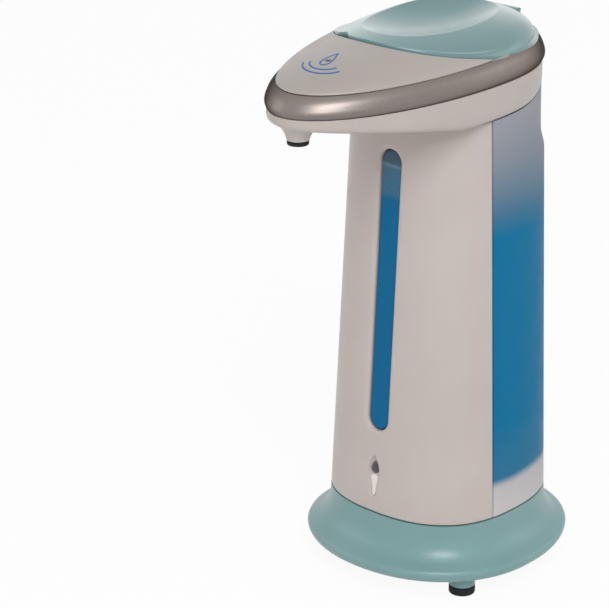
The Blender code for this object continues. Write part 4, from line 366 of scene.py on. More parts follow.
print("plain finishes:", [made.name for made in (RUBBER, LENS, STEEL, BRASS, SOAP, TUBE, NYLON, BLUE_INK)])

# %% Circuit board and cell wrap
TRACK_PITCH_MM, TRACK_LENGTH_MM, TRACK_GAP_MM, TRACK_DEPTH_MM = 1.2, 6.0, 0.14, 0.03


def circuit_board():
    """Green solder mask over copper tracks: a fine brick pattern stands for the tracks."""
    made, tree, shader = new_material("green_solder_mask", "#1f6b3c", IOR=1.55)
    where = place_of(tree)
    tracks = add_node(tree, "ShaderNodeTexBrick", {
        "Vector": where, "Scale": 1.0, "Mortar Size": TRACK_GAP_MM * MM,
        "Brick Width": TRACK_LENGTH_MM * MM, "Row Height": TRACK_PITCH_MM * MM,
        "Color1": linear("#1d6237"), "Color2": linear("#226b3d"), "Mortar": linear("#4f8f52"),
    })
    tree.links.new(tracks.outputs["Color"], shader.inputs["Base Color"])
    tree.links.new(drift(tree, where, 2.0, 0.3, 0.42), shader.inputs["Roughness"])
    bump = add_node(tree, "ShaderNodeBump", {
        "Height": tracks.outputs["Fac"], "Distance": TRACK_DEPTH_MM * MM, "Strength": 0.4})
    tree.links.new(bump.outputs["Normal"], shader.inputs["Normal"])
    return made


COPPER_MM = 13.5


def cell_wrap():
    """A printed foil sleeve: dark grey along the cell and copper at its plus end, at the rear of the bay."""
    made, tree, shader = new_material("printed_foil_wrap", "#3c4147", Metallic=0.55)
    where = place_of(tree)
    along = add_node(tree, "ShaderNodeSeparateXYZ", {"Vector": where}).outputs["Y"]
    plus_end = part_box("battery_1")[1].y
    edge = {"From Min": plus_end - COPPER_MM * MM, "From Max": plus_end - (COPPER_MM - 0.5) * MM}
    band = add_node(tree, "ShaderNodeMapRange", {"Value": along, **edge})
    clouded(tree, shader, band.outputs["Result"], "#3a3f46", "#a8693c")
    tree.links.new(drift(tree, where, 3.0, 0.22, 0.36), shader.inputs["Roughness"])
    return made


BOARD = circuit_board()
WRAP = cell_wrap()
print("materials:", len(bpy.data.materials))

# %% [markdown]
# ## Ovals
# Every level section of this object is two half superellipses that meet at their widest place. A power
# of 2 is an ellipse and a higher power is squarer. The head, column and base differ only in reach and
# power, so one function draws them all.

# %% The oval
def oval(turn, half_width, front, rear, middle, front_power, rear_power):
    """x is half-width * |cos turn| ^ (2 / power) and y is reach * |sin turn| ^ (2 / power), both signed."""
    across, along = np.cos(turn), np.sin(turn)
    power = np.where(along < 0, front_power, rear_power)
    reach = np.where(along < 0, front, rear)
    x = half_width * np.sign(across) * np.abs(across) ** (2 / power)
    y = middle + reach * np.sign(along) * np.abs(along) ** (2 / power)
    return x, y


def grid_of(x, y, z):
    """Three arrays of the same grid, stacked as points."""
    return np.stack(np.broadcast_arrays(x, y, z), -1).astype(float)


def circles(turn, radius, x, y, height):
    """Rings about an upright axis: the radius times the cosine and the sine of the turn."""
    return grid_of(x + radius * np.cos(turn), y + radius * np.sin(turn), height)


def through(values, steps):
    """A cubic in each span between given values, whose slope at a value is half the step across it."""
    values = np.asarray(values, float)
    ends = np.concatenate([[2 * values[0] - values[1]], values, [2 * values[-1] - values[-2]]])
    slope = (ends[2:] - ends[:-2]) / 2
    t = np.linspace(0, 1, steps, endpoint=False)[None, :]
    first, last = values[:-1, None], values[1:, None]
    curve = ((2 * t ** 3 - 3 * t ** 2 + 1) * first + (t ** 3 - 2 * t ** 2 + t) * slope[:-1, None]
             + (3 * t ** 2 - 2 * t ** 3) * last + (t ** 3 - t ** 2) * slope[1:, None])
    return np.append(curve.ravel(), values[-1])


def smooth_step(value, low, high):
    """0 below low, 1 above high, and an S between."""
    share = np.clip((value - low) / (high - low), 0, 1)
    return share * share * (3 - 2 * share)


TURNS = np.linspace(0, math.tau, 288, endpoint=False)[None, :]
print("points in a ring:", TURNS.size)

# %% [markdown]
# ## The head's shared lines
# The head is three stacked shells that share a leaf outline: lower shell, silver band and dome. The
# joint lines slope slightly, and the shapes below give their heights over any point.

# %% Lines of the head
LEAF_MIDDLE = -6.6
LOWER_LEAF = dict(half_width=32.35, front=71.4, rear=42.1, front_power=1.92, rear_power=2.35)
UPPER_LEAF = dict(half_width=30.3, front=67.0, rear=38.6, front_power=1.95, rear_power=2.3)
LOWER_JOINT, LOWER_SLOPE = 181.4, 0.03
UPPER_JOINT, UPPER_SLOPE = 189.9, 0.05
DOME_RISE, FRONT_FULLNESS, REAR_FULLNESS = 11.95, 1.485, 1.8
NOSE_DEPTH, ROOT_DEPTH = 5.8, 16.6
NOSE_Y, ROOT_Y = -78.0, -22.0
SIDE_SHARE, BELLY_REACH, DEPTH_POWER = 0.75, 0.78, 1.3
SIDE_POWER, SIDE_ROUNDING, BELLY_POWER, BELLY_ROUNDING = 30, 0.194, 2.6, 2.2
GAP = 0.3
WALL = 2.0
HEAD_SEAM = 0.45


def leaf(turn, sizes, inset=0.0, scale=1.0):
    """The leaf outline, drawn in by an inset and scaled about its middle."""
    return oval(
        turn, (sizes["half_width"] - inset) * scale, (sizes["front"] - inset) * scale,
        (sizes["rear"] - inset) * scale, LEAF_MIDDLE, sizes["front_power"], sizes["rear_power"],
    )


def share_of_leaf(x, y, sizes):
    """How far out a point lies in a leaf: 0 in its middle and 1 on its outline."""
    ahead = y < LEAF_MIDDLE
    reach = np.where(ahead, sizes["front"], sizes["rear"])
    power = np.where(ahead, sizes["front_power"], sizes["rear_power"])
    across, along = np.abs(x / sizes["half_width"]), np.abs((y - LEAF_MIDDLE) / reach)
    return (across ** power + along ** power) ** (1 / power)


def lower_edge(y):
    """The lower joint line: its height over the column's axis plus a slope times y."""
    return LOWER_JOINT + LOWER_SLOPE * y


def upper_edge(y):
    """The upper joint line, in the same way."""
    return UPPER_JOINT + UPPER_SLOPE * y


def dome_height(x, y):
    """The upper edge plus a rise that falls off as (1 - out ^ n) ^ (1 / n), fuller towards the rear."""
    out = share_of_leaf(x, y, UPPER_LEAF)
    back = smooth_step(y, LEAF_MIDDLE, LEAF_MIDDLE + UPPER_LEAF["rear"])
    fullness = FRONT_FULLNESS + (REAR_FULLNESS - FRONT_FULLNESS) * back
    return upper_edge(y) + DOME_RISE * np.maximum(1 - out ** fullness, 0) ** (1 / fullness)


def hull_depth(y):
    """Depth of the lower shell: shallow at the nose, growing by a power to where the column is."""
    share = np.clip((y - NOSE_Y) / (ROOT_Y - NOSE_Y), 0, 1)
    return NOSE_DEPTH + (ROOT_DEPTH - NOSE_DEPTH) * share ** DEPTH_POWER


def hull_share(scale):
    """Share of that depth: upright sides, a flat shelf and a rounded belly, each as (1 - out ^ n) ^ m."""
    side = SIDE_SHARE * np.maximum(1 - scale ** SIDE_POWER, 0) ** SIDE_ROUNDING
    belly = np.maximum(1 - (scale / BELLY_REACH) ** BELLY_POWER, 0) ** BELLY_ROUNDING
    return side + (1 - SIDE_SHARE) * belly


def hull_bottom(x, y):
    """Height of the lower shell's outside over a point."""
    out = np.minimum(share_of_leaf(x, y, LOWER_LEAF), 1.0)
    return lower_edge(y) - hull_share(out) * hull_depth(y)


print("dome top at", round(float(dome_height(0, -2)), 1), "mm")
print("hull bottom at the axis", round(float(hull_bottom(0, 0)), 1), "mm")

# %% [markdown]
# ## Lower shell of the head
# A deep tray, moulded in white ABS, whose sides drop almost straight from the silver band and turn
# under in a tight curve. The rings below run from its middle to its edge, close together where it
# turns, then across the joint and back inside, a wall's thickness away.

# %% Lower shell
LIP_INSET, LIP_LIFT, LIP_DROP = 0.5, 0.05, 0.4


def lower_shell():
    """Rings at shares of the leaf, each as far under the joint line as the hull's share of its depth."""
    middle, edge = np.linspace(0.004, 0.86, 44), 1 - np.geomspace(0.13, 0.0004, 34)
    spread = np.concatenate([middle, edge, [1.0]])[:, None]
    x, y = leaf(TURNS, LOWER_LEAF, 0.0, spread)
    outside = grid_of(x, y, lower_edge(y) - hull_share(spread) * hull_depth(y))
    x, y = leaf(TURNS, LOWER_LEAF, LIP_INSET, 1.0)
    joint = grid_of(x, y, lower_edge(y) + LIP_LIFT)
    inner_spread = spread[::-3]
    x, y = leaf(TURNS, LOWER_LEAF, WALL, inner_spread)
    depth = hull_share(inner_spread) * hull_depth(y)
    inside = grid_of(x, y, np.minimum(lower_edge(y) - depth + WALL, lower_edge(y) - LIP_DROP))
    rows = with_poles(np.concatenate([outside, joint, inside]))
    return piece("lower_shell", [rows], SHELL_ABS_PAINTED_SHADE, ["head_lower_shell"])


lower_shell()

# %% Nozzle boss
BOSS_RADIUS, BOSS_SPREAD, BOSS_LOW = 3.8, 3.2, 170.3
BOSS_RIM, BOSS_BORE, BORE_TOP = 0.25, 2.4, 176.0


def nozzle_boss():
    """A round boss that spreads until it lies on the shell: its height mixes into the shell's by a sine."""
    turn = TURNS[:, ::3]
    steps = np.linspace(0, 1, 40)[:, None]
    radius = BOSS_RADIUS + BOSS_SPREAD * steps ** 1.25
    outside = circles(turn, radius, 0.0, -NOZZLE_REACH, BOSS_LOW)
    meeting = hull_bottom(outside[..., 0], outside[..., 1]) + 0.12
    outside[..., 2] += (meeting - BOSS_LOW) * np.sin(steps * math.pi / 2) ** 0.9
    face = BOSS_LOW - 0.1
    lip = circles(turn, BOSS_RADIUS - BOSS_RIM, 0.0, -NOZZLE_REACH, face)
    bore = circles(turn, BOSS_BORE, 0.0, -NOZZLE_REACH, np.array([[face], [BORE_TOP]]))
    over = circles(turn, radius[-1:] * 0.98, 0.0, -NOZZLE_REACH, meeting[-1:] + 0.5)
    rows = [bore[1:], bore[:1], lip, outside, over, bore[1:]]
    return piece("nozzle_boss", [np.concatenate(rows)], SHELL_ABS_PAINTED_SHADE)


nozzle_boss()

# %% [markdown]
# ## Silver band
# The band is a ring whose section is a shallow bow, widest halfway up. Its outline changes from the
# lower leaf to the upper one on the way. The wall closes behind, and a notch at the rear leaves room
# for the lid's hinge.

# %% Silver band
BAND_BULGE = 1.69
NOTCH_DEPTH, NOTCH_HALF_WIDTH, NOTCH_Y = 0.9, 7.8, 20.0
NOTCH_SIDE, NOTCH_RAMP = 0.8, 4.0


def silver_band():
    """The bow stands out by bulge * (1 - |2 share - 1| ^ 2.8), where share is 0 below and 1 above."""
    share = np.concatenate([[0.0, 0.012], np.linspace(0.03, 0.97, 40), [0.988, 1.0]])[:, None]
    bulge = BAND_BULGE * (1 - np.abs(2 * share - 1) ** 2.8)

    def ring(share, inset):
        low_x, low_y = leaf(TURNS, LOWER_LEAF, inset)
        high_x, high_y = leaf(TURNS, UPPER_LEAF, inset)
        x, y = low_x + (high_x - low_x) * share, low_y + (high_y - low_y) * share
        notch = 1 - smooth_step(np.abs(x), NOTCH_HALF_WIDTH, NOTCH_HALF_WIDTH + NOTCH_SIDE)
        notch = notch * smooth_step(y, NOTCH_Y, NOTCH_Y + NOTCH_RAMP)
        low, high = lower_edge(y) + GAP, upper_edge(y) - NOTCH_DEPTH * notch
        return grid_of(x, y, low + (high - low) * share)

    outside = ring(share, -bulge)
    inside = ring(share[::-6], WALL - GAP - bulge[::-6] * 0.8)
    rows = np.concatenate([outside, inside, outside[:1]])
    return piece("silver_band", [rows], SILVER, ["trim_band"])


silver_band()

# %% [markdown]
# ## Dome
# The dome is the front of the head's top. It reaches from the band up to the lid's opening, so the
# grid runs from one line to the other: each column starts on the leaf and ends on the lid's edge, and
# every point is lifted onto the dome by its height formula.

# %% Dome shell
LID_MIDDLE = -2.0
LID = dict(half_width=30.5, front=38.3, rear=33.6, middle=LID_MIDDLE, front_power=2.0, rear_power=2.45)
LID_SEAM = 0.35
OPENING = dict(LID, half_width=LID["half_width"] + LID_SEAM, front=LID["front"] + LID_SEAM)
TUCK, REAR_TUCK = 0.004, 0.105
DOME_WALL, DOME_SHRINK, RIM_DROP = 1.4, 0.985, 0.35


def dome_shell():
    """A point is edge + (opening - edge) * share, lifted to the dome's height; the inside is smaller."""
    turn = np.linspace(-TUCK, TUCK - math.pi, 240)[None, :]
    lid_x, lid_y = oval(turn, **OPENING)
    edge_x, edge_y = leaf(np.linspace(REAR_TUCK, -math.pi - REAR_TUCK, 240)[None, :], UPPER_LEAF)
    share = (np.linspace(0, 1, 72) ** 1.9)[:, None]
    x, y = edge_x + (lid_x - edge_x) * share, edge_y + (lid_y - edge_y) * share
    rim = RIM_DROP * smooth_step(share, 0.985, 1.0)
    outside = grid_of(x, y, dome_height(x, y) + GAP - rim)
    x, y = x * DOME_SHRINK, LEAF_MIDDLE + (y - LEAF_MIDDLE) * DOME_SHRINK
    inside = grid_of(x, y, dome_height(x, y) - DOME_WALL)[::-4]
    columns = np.concatenate([outside, inside, outside[:1]]).swapaxes(0, 1)
    rows = with_poles(columns).swapaxes(0, 1)
    return piece("dome_shell", [rows], DOME_ABS_PAINTED_SHADE, ["head_top_shell"], wrap=False)


dome_shell()

# %% [markdown]
# ## Lid
# The lid closes the filler opening. A rolled bead runs along its front edge, the slope behind it
# follows the dome, and a long dish is pressed into its middle. A small nick at the front left lets it
# be lifted. The rings run from the lid's outline in to the dish's, so one grid holds bead, slope and
# dish, and the crease between slope and dish stays crisp.

# %% Lid
DISH = dict(half_width=17.3, front=29.5, rear=26.0, middle=-4.0, front_power=2.1, rear_power=2.1)
DISH_DEPTH = 5.5
NICK_X, NICK_DEPTH, NICK_SPREAD = 9.5, 1.5, 0.085
NICK_TURN = 1.5 * math.pi - math.asin(NICK_X / LID["half_width"])
BEAD_HEIGHT, BEAD_SHARE = 0.5, 0.15
LID_WALL, SKIRT_DROP, INNER_DROP = 1.8, 1.4, 1.6


def lid():
    """The nick is depth * exp(-(turn / spread) ^ 2), and the dish sinks by 1 - (1 - share) ^ 2."""
    turn = TURNS
    nick = NICK_DEPTH * np.exp(-((turn - NICK_TURN) / NICK_SPREAD) ** 2)
    edge_x, edge_y = oval(turn, **LID)
    kept = 1 - nick / np.hypot(edge_x, edge_y - LID_MIDDLE)
    edge_x, edge_y = edge_x * kept, LID_MIDDLE + (edge_y - LID_MIDDLE) * kept
    dish_x, dish_y = oval(turn, **DISH)

    def ring(share, lift):
        x, y = edge_x + (dish_x - edge_x) * share, edge_y + (dish_y - edge_y) * share
        return grid_of(x, y, dome_height(x, y) + lift)

    bead = np.linspace(0, 1, 18)[:, None]
    roll = BEAD_HEIGHT * smooth_step(-edge_y, -8.0, 14.0)
    rolled = ring(BEAD_SHARE * bead, GAP + roll * np.sin(math.pi * bead ** 0.6) ** 0.8)
    slope = ring(np.linspace(BEAD_SHARE + 0.01, 0.97, 30)[:, None], GAP)
    crease = ring(np.array([[0.985], [1.0]]), GAP - np.array([[0.02], [0.10]]))
    rim = crease[-1:]
    centre = np.array([0.0, DISH["middle"], rim[..., 2].min() - DISH_DEPTH + 1.0])
    share = np.linspace(0.02, 1, 44)[:, None, None]
    dish = rim + (centre - rim) * np.concatenate([share, share, 1 - (1 - share) ** 2], -1)
    outside = np.concatenate([rolled, slope, crease, dish])
    under = outside - (0, 0, LID_WALL)
    inside = np.concatenate([ring(0.06, -INNER_DROP), under[20::5], under[-1:]])[::-1]
    rows = np.concatenate([inside, ring(0.0, -SKIRT_DROP), outside])
    return piece("lid", [rows], LID_ABS, ["fill_lid"], body="lid")


lid()

# %% [markdown]
# The lid's rear lip wraps over the hinge, so the ears and the pin stay hidden from the front. It is part
# of a tube about the hinge's axis, so it turns with the lid and clears the ears and the band's notch.

# %% Hinge lip
HINGE_REACH, HINGE_HEIGHT = 31.6, 193.08


def about_hinge(angle, radius, x):
    """Rings about the hinge's axis: y is the radius times the cosine of the angle, and height its sine."""
    return grid_of(x, HINGE_REACH + radius * np.cos(angle), HINGE_HEIGHT + radius * np.sin(angle))


def hinge_lip():
    """Section: an outer arc and an inner one run back; at both ends the inner one shrinks to a cap."""
    angle = np.radians(np.linspace(40, 140, 36))
    x = np.array([-7.6, -7.6, -7.42, -7.41, 7.41, 7.42, 7.6, 7.6])[:, None]
    outer = np.array([2.05, 2.15, 2.17, 2.17, 2.17, 2.17, 2.15, 2.05])[:, None]
    inner = np.array([0.1, 0.1, 0.1, 1.95, 1.95, 0.1, 0.1, 0.1])[:, None]
    section = [about_hinge(angle, outer, x), about_hinge(angle[::-1], inner, x)]
    rows = with_poles(np.concatenate(section, 1))
    return piece("hinge_lip", [rows], LID_ABS, body="lid")


def hinge_barrel():
    """A plain tube round the pin, between the ears, with rounded rims."""
    x = np.array([-3.8, -3.8, -3.55, 3.55, 3.8, 3.8, -3.8])[:, None]
    radius = np.array([1.0, 1.6, 1.85, 1.85, 1.6, 1.0, 1.0])[:, None]
    rows = about_hinge(TURNS[:, ::4], radius, x)
    return piece("hinge_barrel", [rows], LID_ABS, body="lid")


hinge_lip()
hinge_barrel()

# %% [markdown]
# ## Front casing
# The white front of the column. Its section is a squarish oval that tapers upwards, and its top edge
# follows the lower shell's curved underside. The grid grows out from the sight slot: the first rings
# follow the slot's outline, the last ones the casing's four edges, and those between mix the two, so
# the slot's lip and the edges stay crisp. The sensor's eye is a shallow drop-shaped recess.

# %% The column's section
FOOT_HEIGHT, HEAD_HEIGHT = 26.0, 165.0
COLUMN_FOOT, COLUMN_TAPER = (35.0, 32.6, 39.6), (4.4, 8.0, 3.1)
COLUMN_POWER, COLUMN_REAR_POWER = 2.43, 2.5
SEAM_Y = -8.1
TOP_GUESS, TOP_ROUNDS = 166.0, 12


def column_sizes(height, inset=0.0):
    """Half-width, front and rear reach: each is that of the foot less its taper times the share of height."""
    share = (height - FOOT_HEIGHT) / (HEAD_HEIGHT - FOOT_HEIGHT)
    return [reach - taper * share - inset for reach, taper in zip(COLUMN_FOOT, COLUMN_TAPER)]


def on_column(bearing, height):
    """The point of the column's front at a bearing, in polar form: r = (|cos/a|^n + |sin/b|^n) ^ (-1/n)."""
    half, front, _ = column_sizes(height)
    across, along = np.abs(np.cos(bearing) / half), np.abs(np.sin(bearing) / front)
    reach = (across ** COLUMN_POWER + along ** COLUMN_POWER) ** (-1 / COLUMN_POWER)
    return reach * np.cos(bearing), reach * np.sin(bearing)


def inward(x, y, height):
    """Unit direction into the column, across the section's slope."""
    half, front, _ = column_sizes(height)
    across = np.sign(x) * np.abs(x / half) ** (COLUMN_POWER - 1) / half
    along = np.sign(y) * np.abs(y / front) ** (COLUMN_POWER - 1) / front
    length = np.hypot(across, along)
    return -across / length, -along / length


def other_side(share):
    """On a superellipse of reach 1, one coordinate from the other: (1 - share ^ n) ^ (1 / n)."""
    return (1 - share ** COLUMN_POWER) ** (1 / COLUMN_POWER)


def seam_bearing(height):
    """Bearing of the seam on the right, where the section crosses the seam's plane."""
    half, front, _ = column_sizes(height)
    return np.arctan2(SEAM_Y, half * other_side(-SEAM_Y / front))


def casing_top(bearing):
    """Height at which the column meets the lower shell, found by a few rounds of trying the last height."""
    height = np.full(np.shape(bearing), TOP_GUESS)
    for _ in range(TOP_ROUNDS):
        x, y = on_column(bearing, height)
        height = 0.5 * height + 0.5 * (hull_bottom(x, y) - HEAD_SEAM)
    return height


print("casing meets the head at", np.round(casing_top(np.array([-math.pi / 2, -0.5])), 1), "mm")

# %% Outlines of the slot and of the casing
SLOT_LOW, SLOT_HIGH, SLOT_WIDTH = 55.8, 156.2, 9.2
HALF_GIRTH, CASING_HEIGHT = 48.0, 139.0
SIDE, TOP, BOTTOM = 110, 44, 130


def centred(t):
    """Spacing that is four times closer at the middle than evenly spread, so that the eye's edge is fine."""
    return 0.25 * t + 0.75 * t ** 3


def slot_ring(margin):
    """The slot's outline grown by a margin, as (x, height): up the right, over, down the left and under."""
    radius = SLOT_WIDTH / 2
    top, bottom, grown = SLOT_HIGH - radius, SLOT_LOW + radius, radius + margin
    up = np.linspace(bottom, top, SIDE, endpoint=False)
    over = np.linspace(0, math.pi, TOP, endpoint=False)
    under = (1.5 + 0.5 * centred(np.linspace(-1, 1, BOTTOM, endpoint=False))) * math.pi
    right = np.full(SIDE, grown)
    x = np.concatenate([right, grown * np.cos(over), -right, grown * np.cos(under)])
    z = np.concatenate([up, top + grown * np.sin(over), bottom + top - up, bottom + grown * np.sin(under)])
    return x, z


def edge_ring(inset):
    """The casing's four edges in unrolled form: across from -1 to 1 seam to seam, up from 0 to 1."""
    side, end = 1 - inset / HALF_GIRTH, inset / CASING_HEIGHT
    up = np.linspace(end, 1 - end, SIDE, endpoint=False)
    over = np.linspace(1, -1, TOP, endpoint=False) * side
    under = centred(np.linspace(-1, 1, BOTTOM, endpoint=False)) * side
    across = np.concatenate([np.full(SIDE, side), over, np.full(SIDE, -side), under])
    upward = np.concatenate([up, np.full(TOP, 1 - end), 1 - up, np.full(BOTTOM, end)])
    return across, upward


print("points round the casing:", 2 * SIDE + TOP + BOTTOM)

# %% From a flat drawing to the column's face
FACE_GUESS, FACE_ROUNDS = 160.0, 8


def unrolled(x, height):
    """A place on the casing's face as (across, up) shares."""
    half, front, _ = column_sizes(height)
    bearing = np.arctan2(-front * other_side(np.abs(x / half)), x)
    across = (bearing + math.pi / 2) / (seam_bearing(height) + math.pi / 2)
    return across, (height - FOOT_HEIGHT) / (casing_top(bearing) - FOOT_HEIGHT)


def rolled_up(across, up, depth):
    """The point of the casing at (across, up) shares, sunk by a depth; a few rounds find its height."""
    height = FOOT_HEIGHT + up * (FACE_GUESS - FOOT_HEIGHT)
    for _ in range(FACE_ROUNDS):
        bearing = -math.pi / 2 + across * (seam_bearing(height) + math.pi / 2)
        height = FOOT_HEIGHT + up * (casing_top(bearing) - FOOT_HEIGHT)
    x, y = on_column(bearing, height)
    in_x, in_y = inward(x, y, height)
    return grid_of(x + in_x * depth, y + in_y * depth, height)


face_middle = rolled_up(np.array([0.0]), np.array([0.5]), 0.0)[0]
print("middle of the casing's face, in mm:", np.round(face_middle, 1).tolist())

# %% The eye's recess
EYE_TIP, EYE_WIDEST, EYE_BOTTOM = 46.3, 40.4, 31.6
EYE_HALF_WIDTH, TAIL_HALF_WIDTH, TAIL_END = 2.1, 1.0, 1.1
EYE_SINK = 0.9


def eye_half_width(height):
    """Half-width of the drop: round about its widest place, pointed above, and a narrow tail below."""
    above = np.clip((height - EYE_WIDEST) / (EYE_TIP - EYE_WIDEST), 0, 1)
    below = np.clip((EYE_WIDEST - height) / (EYE_WIDEST - EYE_BOTTOM), 0, 1)
    upper = EYE_HALF_WIDTH * (1 - above ** 1.7) ** 0.75
    lower = EYE_HALF_WIDTH + (TAIL_HALF_WIDTH - EYE_HALF_WIDTH) * smooth_step(below, 0.0, 0.75)
    end = np.sqrt(np.clip((height - EYE_BOTTOM) / TAIL_END, 0, 1))
    return np.where(height > EYE_WIDEST, upper, lower) * end


def eye_depth(x, height):
    """The depth inside the drop, with a rounded edge under half a millimetre wide."""
    inside = (eye_half_width(height) + GAP) - np.abs(x)
    above_end = smooth_step(height, EYE_BOTTOM - GAP, EYE_BOTTOM)
    below_tip = 1 - smooth_step(height, EYE_TIP, EYE_TIP + GAP)
    return EYE_SINK * smooth_step(inside, -0.15, 0.3) * above_end * below_tip


print("recess at the eye's middle:", float(eye_depth(0.0, EYE_WIDEST)), "mm deep")

# %% The casing
CASING_WALL = 2.2
LIP_PROFILE = (
    (0.0, 1.2), (0.0, 0.85), (0.15, 0.62), (0.4, 0.42), (0.75, 0.24),
    (1.1, 0.12), (1.5, 0.04), (1.9, 0.01), (2.4, 0.0),
)
EDGE_PROFILE = ((0.9, 0.0), (0.5, 0.02), (0.25, 0.1), (0.1, 0.22), (0.0, 0.4))


def casing():
    """Profiles hold (distance from the edge, depth below the face); the rings between are mixes."""
    lip = [unrolled(*slot_ring(margin)) for margin, _ in LIP_PROFILE]
    edges = [edge_ring(inset) for inset, _ in EDGE_PROFILE]

    def between(near, far, share):
        return near[0] + (far[0] - near[0]) * share, near[1] + (far[1] - near[1]) * share

    places = between(lip[-1], edges[0], np.linspace(0, 1, 92)[1:-1, None])
    flat = rolled_up(*places, 0.0)
    face = rolled_up(*places, eye_depth(flat[..., 0], flat[..., 2]))
    lip_rows = [rolled_up(a[None], u[None], depth) for (a, u), (_, depth) in zip(lip, LIP_PROFILE)]
    edge_rows = [rolled_up(a[None], u[None], depth) for (a, u), (_, depth) in zip(edges, EDGE_PROFILE)]
    back = rolled_up(*between(lip[0], edges[-1], np.linspace(1, 0, 14)[:, None]), CASING_WALL)
    rows = np.concatenate([*lip_rows, face, *edge_rows, back, lip_rows[0]])
    return piece("casing", [rows], WHITE_ABS, ["front_casing"])


casing()

# %% [markdown]
# ## The eye's lens
# A dark drop-shaped window that hides the infrared emitter and receiver. It is a little pillow: its
# height over the recess falls off from its middle to its edge, which gives one small highlight. A
# white inlay fills the drop's tail below it.

# %% Lens and inlay
EYE_TURN = np.linspace(0, math.tau, 64, endpoint=False)[None, :]
LENS_RISE, LENS_DEPTH, LENS_EDGE = 0.5, 0.95, 0.25
LENS_UP, LENS_DOWN, LENS_LOWEST, LENS_SHIFT = 2.85, 1.75, 1.9, 1.4
INLAY_TOP, INLAY_DEPTH, INLAY_EDGE = 39.6, 0.42, 0.12


def lens():
    """The pillow's lift is rise * sqrt(1 - share ^ 2), where share is 0 in its middle and 1 at its edge."""
    inner = np.linspace(0.94, 0.0, 22)
    share = np.concatenate([[1.0, 1.0], inner])[:, None]
    upward = np.sin(EYE_TURN)
    reach = np.where(upward > 0, LENS_UP, LENS_DOWN)
    height = np.maximum(EYE_WIDEST + reach * upward * share, EYE_WIDEST - LENS_LOWEST) + LENS_SHIFT
    half = np.maximum(eye_half_width(height) - LENS_EDGE, 0.05)
    lift = np.concatenate([[0.0, LENS_EDGE], LENS_EDGE + LENS_RISE * np.sqrt(1 - inner ** 2)])[:, None]
    _, front, _ = column_sizes(height)
    rows = with_poles(grid_of(np.cos(EYE_TURN) * share * half, LENS_DEPTH - front - lift, height))
    return piece("eye_lens", [rows], LENS, ["sensor_window"])


def eye_inlay():
    """A white inlay in the drop's tail below the lens, a superellipse of power 4 a little under the face."""
    share = np.linspace(1.0, 0.0, 14)[:-1, None]
    upward, across = np.sin(EYE_TURN), np.cos(EYE_TURN)
    middle, reach = (INLAY_TOP + EYE_BOTTOM) / 2, (INLAY_TOP - EYE_BOTTOM) / 2 - 0.15
    height = middle + reach * np.sign(upward) * np.abs(upward) ** 0.5 * share
    half = np.maximum(eye_half_width(height) - INLAY_EDGE, GAP)
    _, front, _ = column_sizes(height)
    x = half * np.sign(across) * np.abs(across) ** 0.5 * share
    face = grid_of(x, INLAY_DEPTH - front + INLAY_EDGE * share ** 6, height)
    rows = with_poles(np.concatenate([face[:1] + (0, 0.8, 0), face]))
    return piece("eye_inlay", [rows], INLAY_ABS)


lens()
eye_inlay()

# %% [markdown]
# ## Tank
# The translucent rear of the column is one hollow moulding. One skin makes it all: it starts in the
# middle of the underside, runs up the outside, over the top, up the filler neck, down its bore and
# round the inside to the floor. Each ring has the same points, so rings of quite different shapes
# join without a seam.

# %% Tank
ARC, FLAT = 228, 60
NECK_Y, NECK_RADIUS, NECK_TOP, NECK_FOOT = 11.0, 10.8, 188.2, 160.5
TANK_SEAM, TANK_WALL = -7.8, 1.8
SHOULDER_STEP, SHOULDER_LOW, SHOULDER_HIGH = 2.6, 150.0, 158.5
TANK_FLOOR, RECESS_TOP, RECESS_INSET = 36.5, 34.7, 2.4
TANK_TOP, UNDER_HEAD = 163.0, 168.0


def tank_ring(height, inset=0.0):
    """The column's rear from seam to seam, closed by a flat front wall; it steps in at the shoulder."""
    height = np.asarray(height, float)[:, None]
    half, front, rear = column_sizes(height, inset)
    rear = rear - SHOULDER_STEP * smooth_step(height, SHOULDER_LOW, SHOULDER_HIGH)
    wall_y = TANK_SEAM + inset
    start = np.arcsin((-wall_y / front) ** (COLUMN_POWER / 2))
    turn = -start + (math.pi + 2 * start) * np.linspace(0, 1, ARC)[None, :]
    x, y = oval(turn, half, front, rear, 0.0, COLUMN_POWER, COLUMN_REAR_POWER)
    back = np.linspace(-1, 1, FLAT + 2)[None, 1:-1] * x[:, :1]
    return np.concatenate([x, back], 1), np.concatenate([y, np.broadcast_to(wall_y, back.shape)], 1)


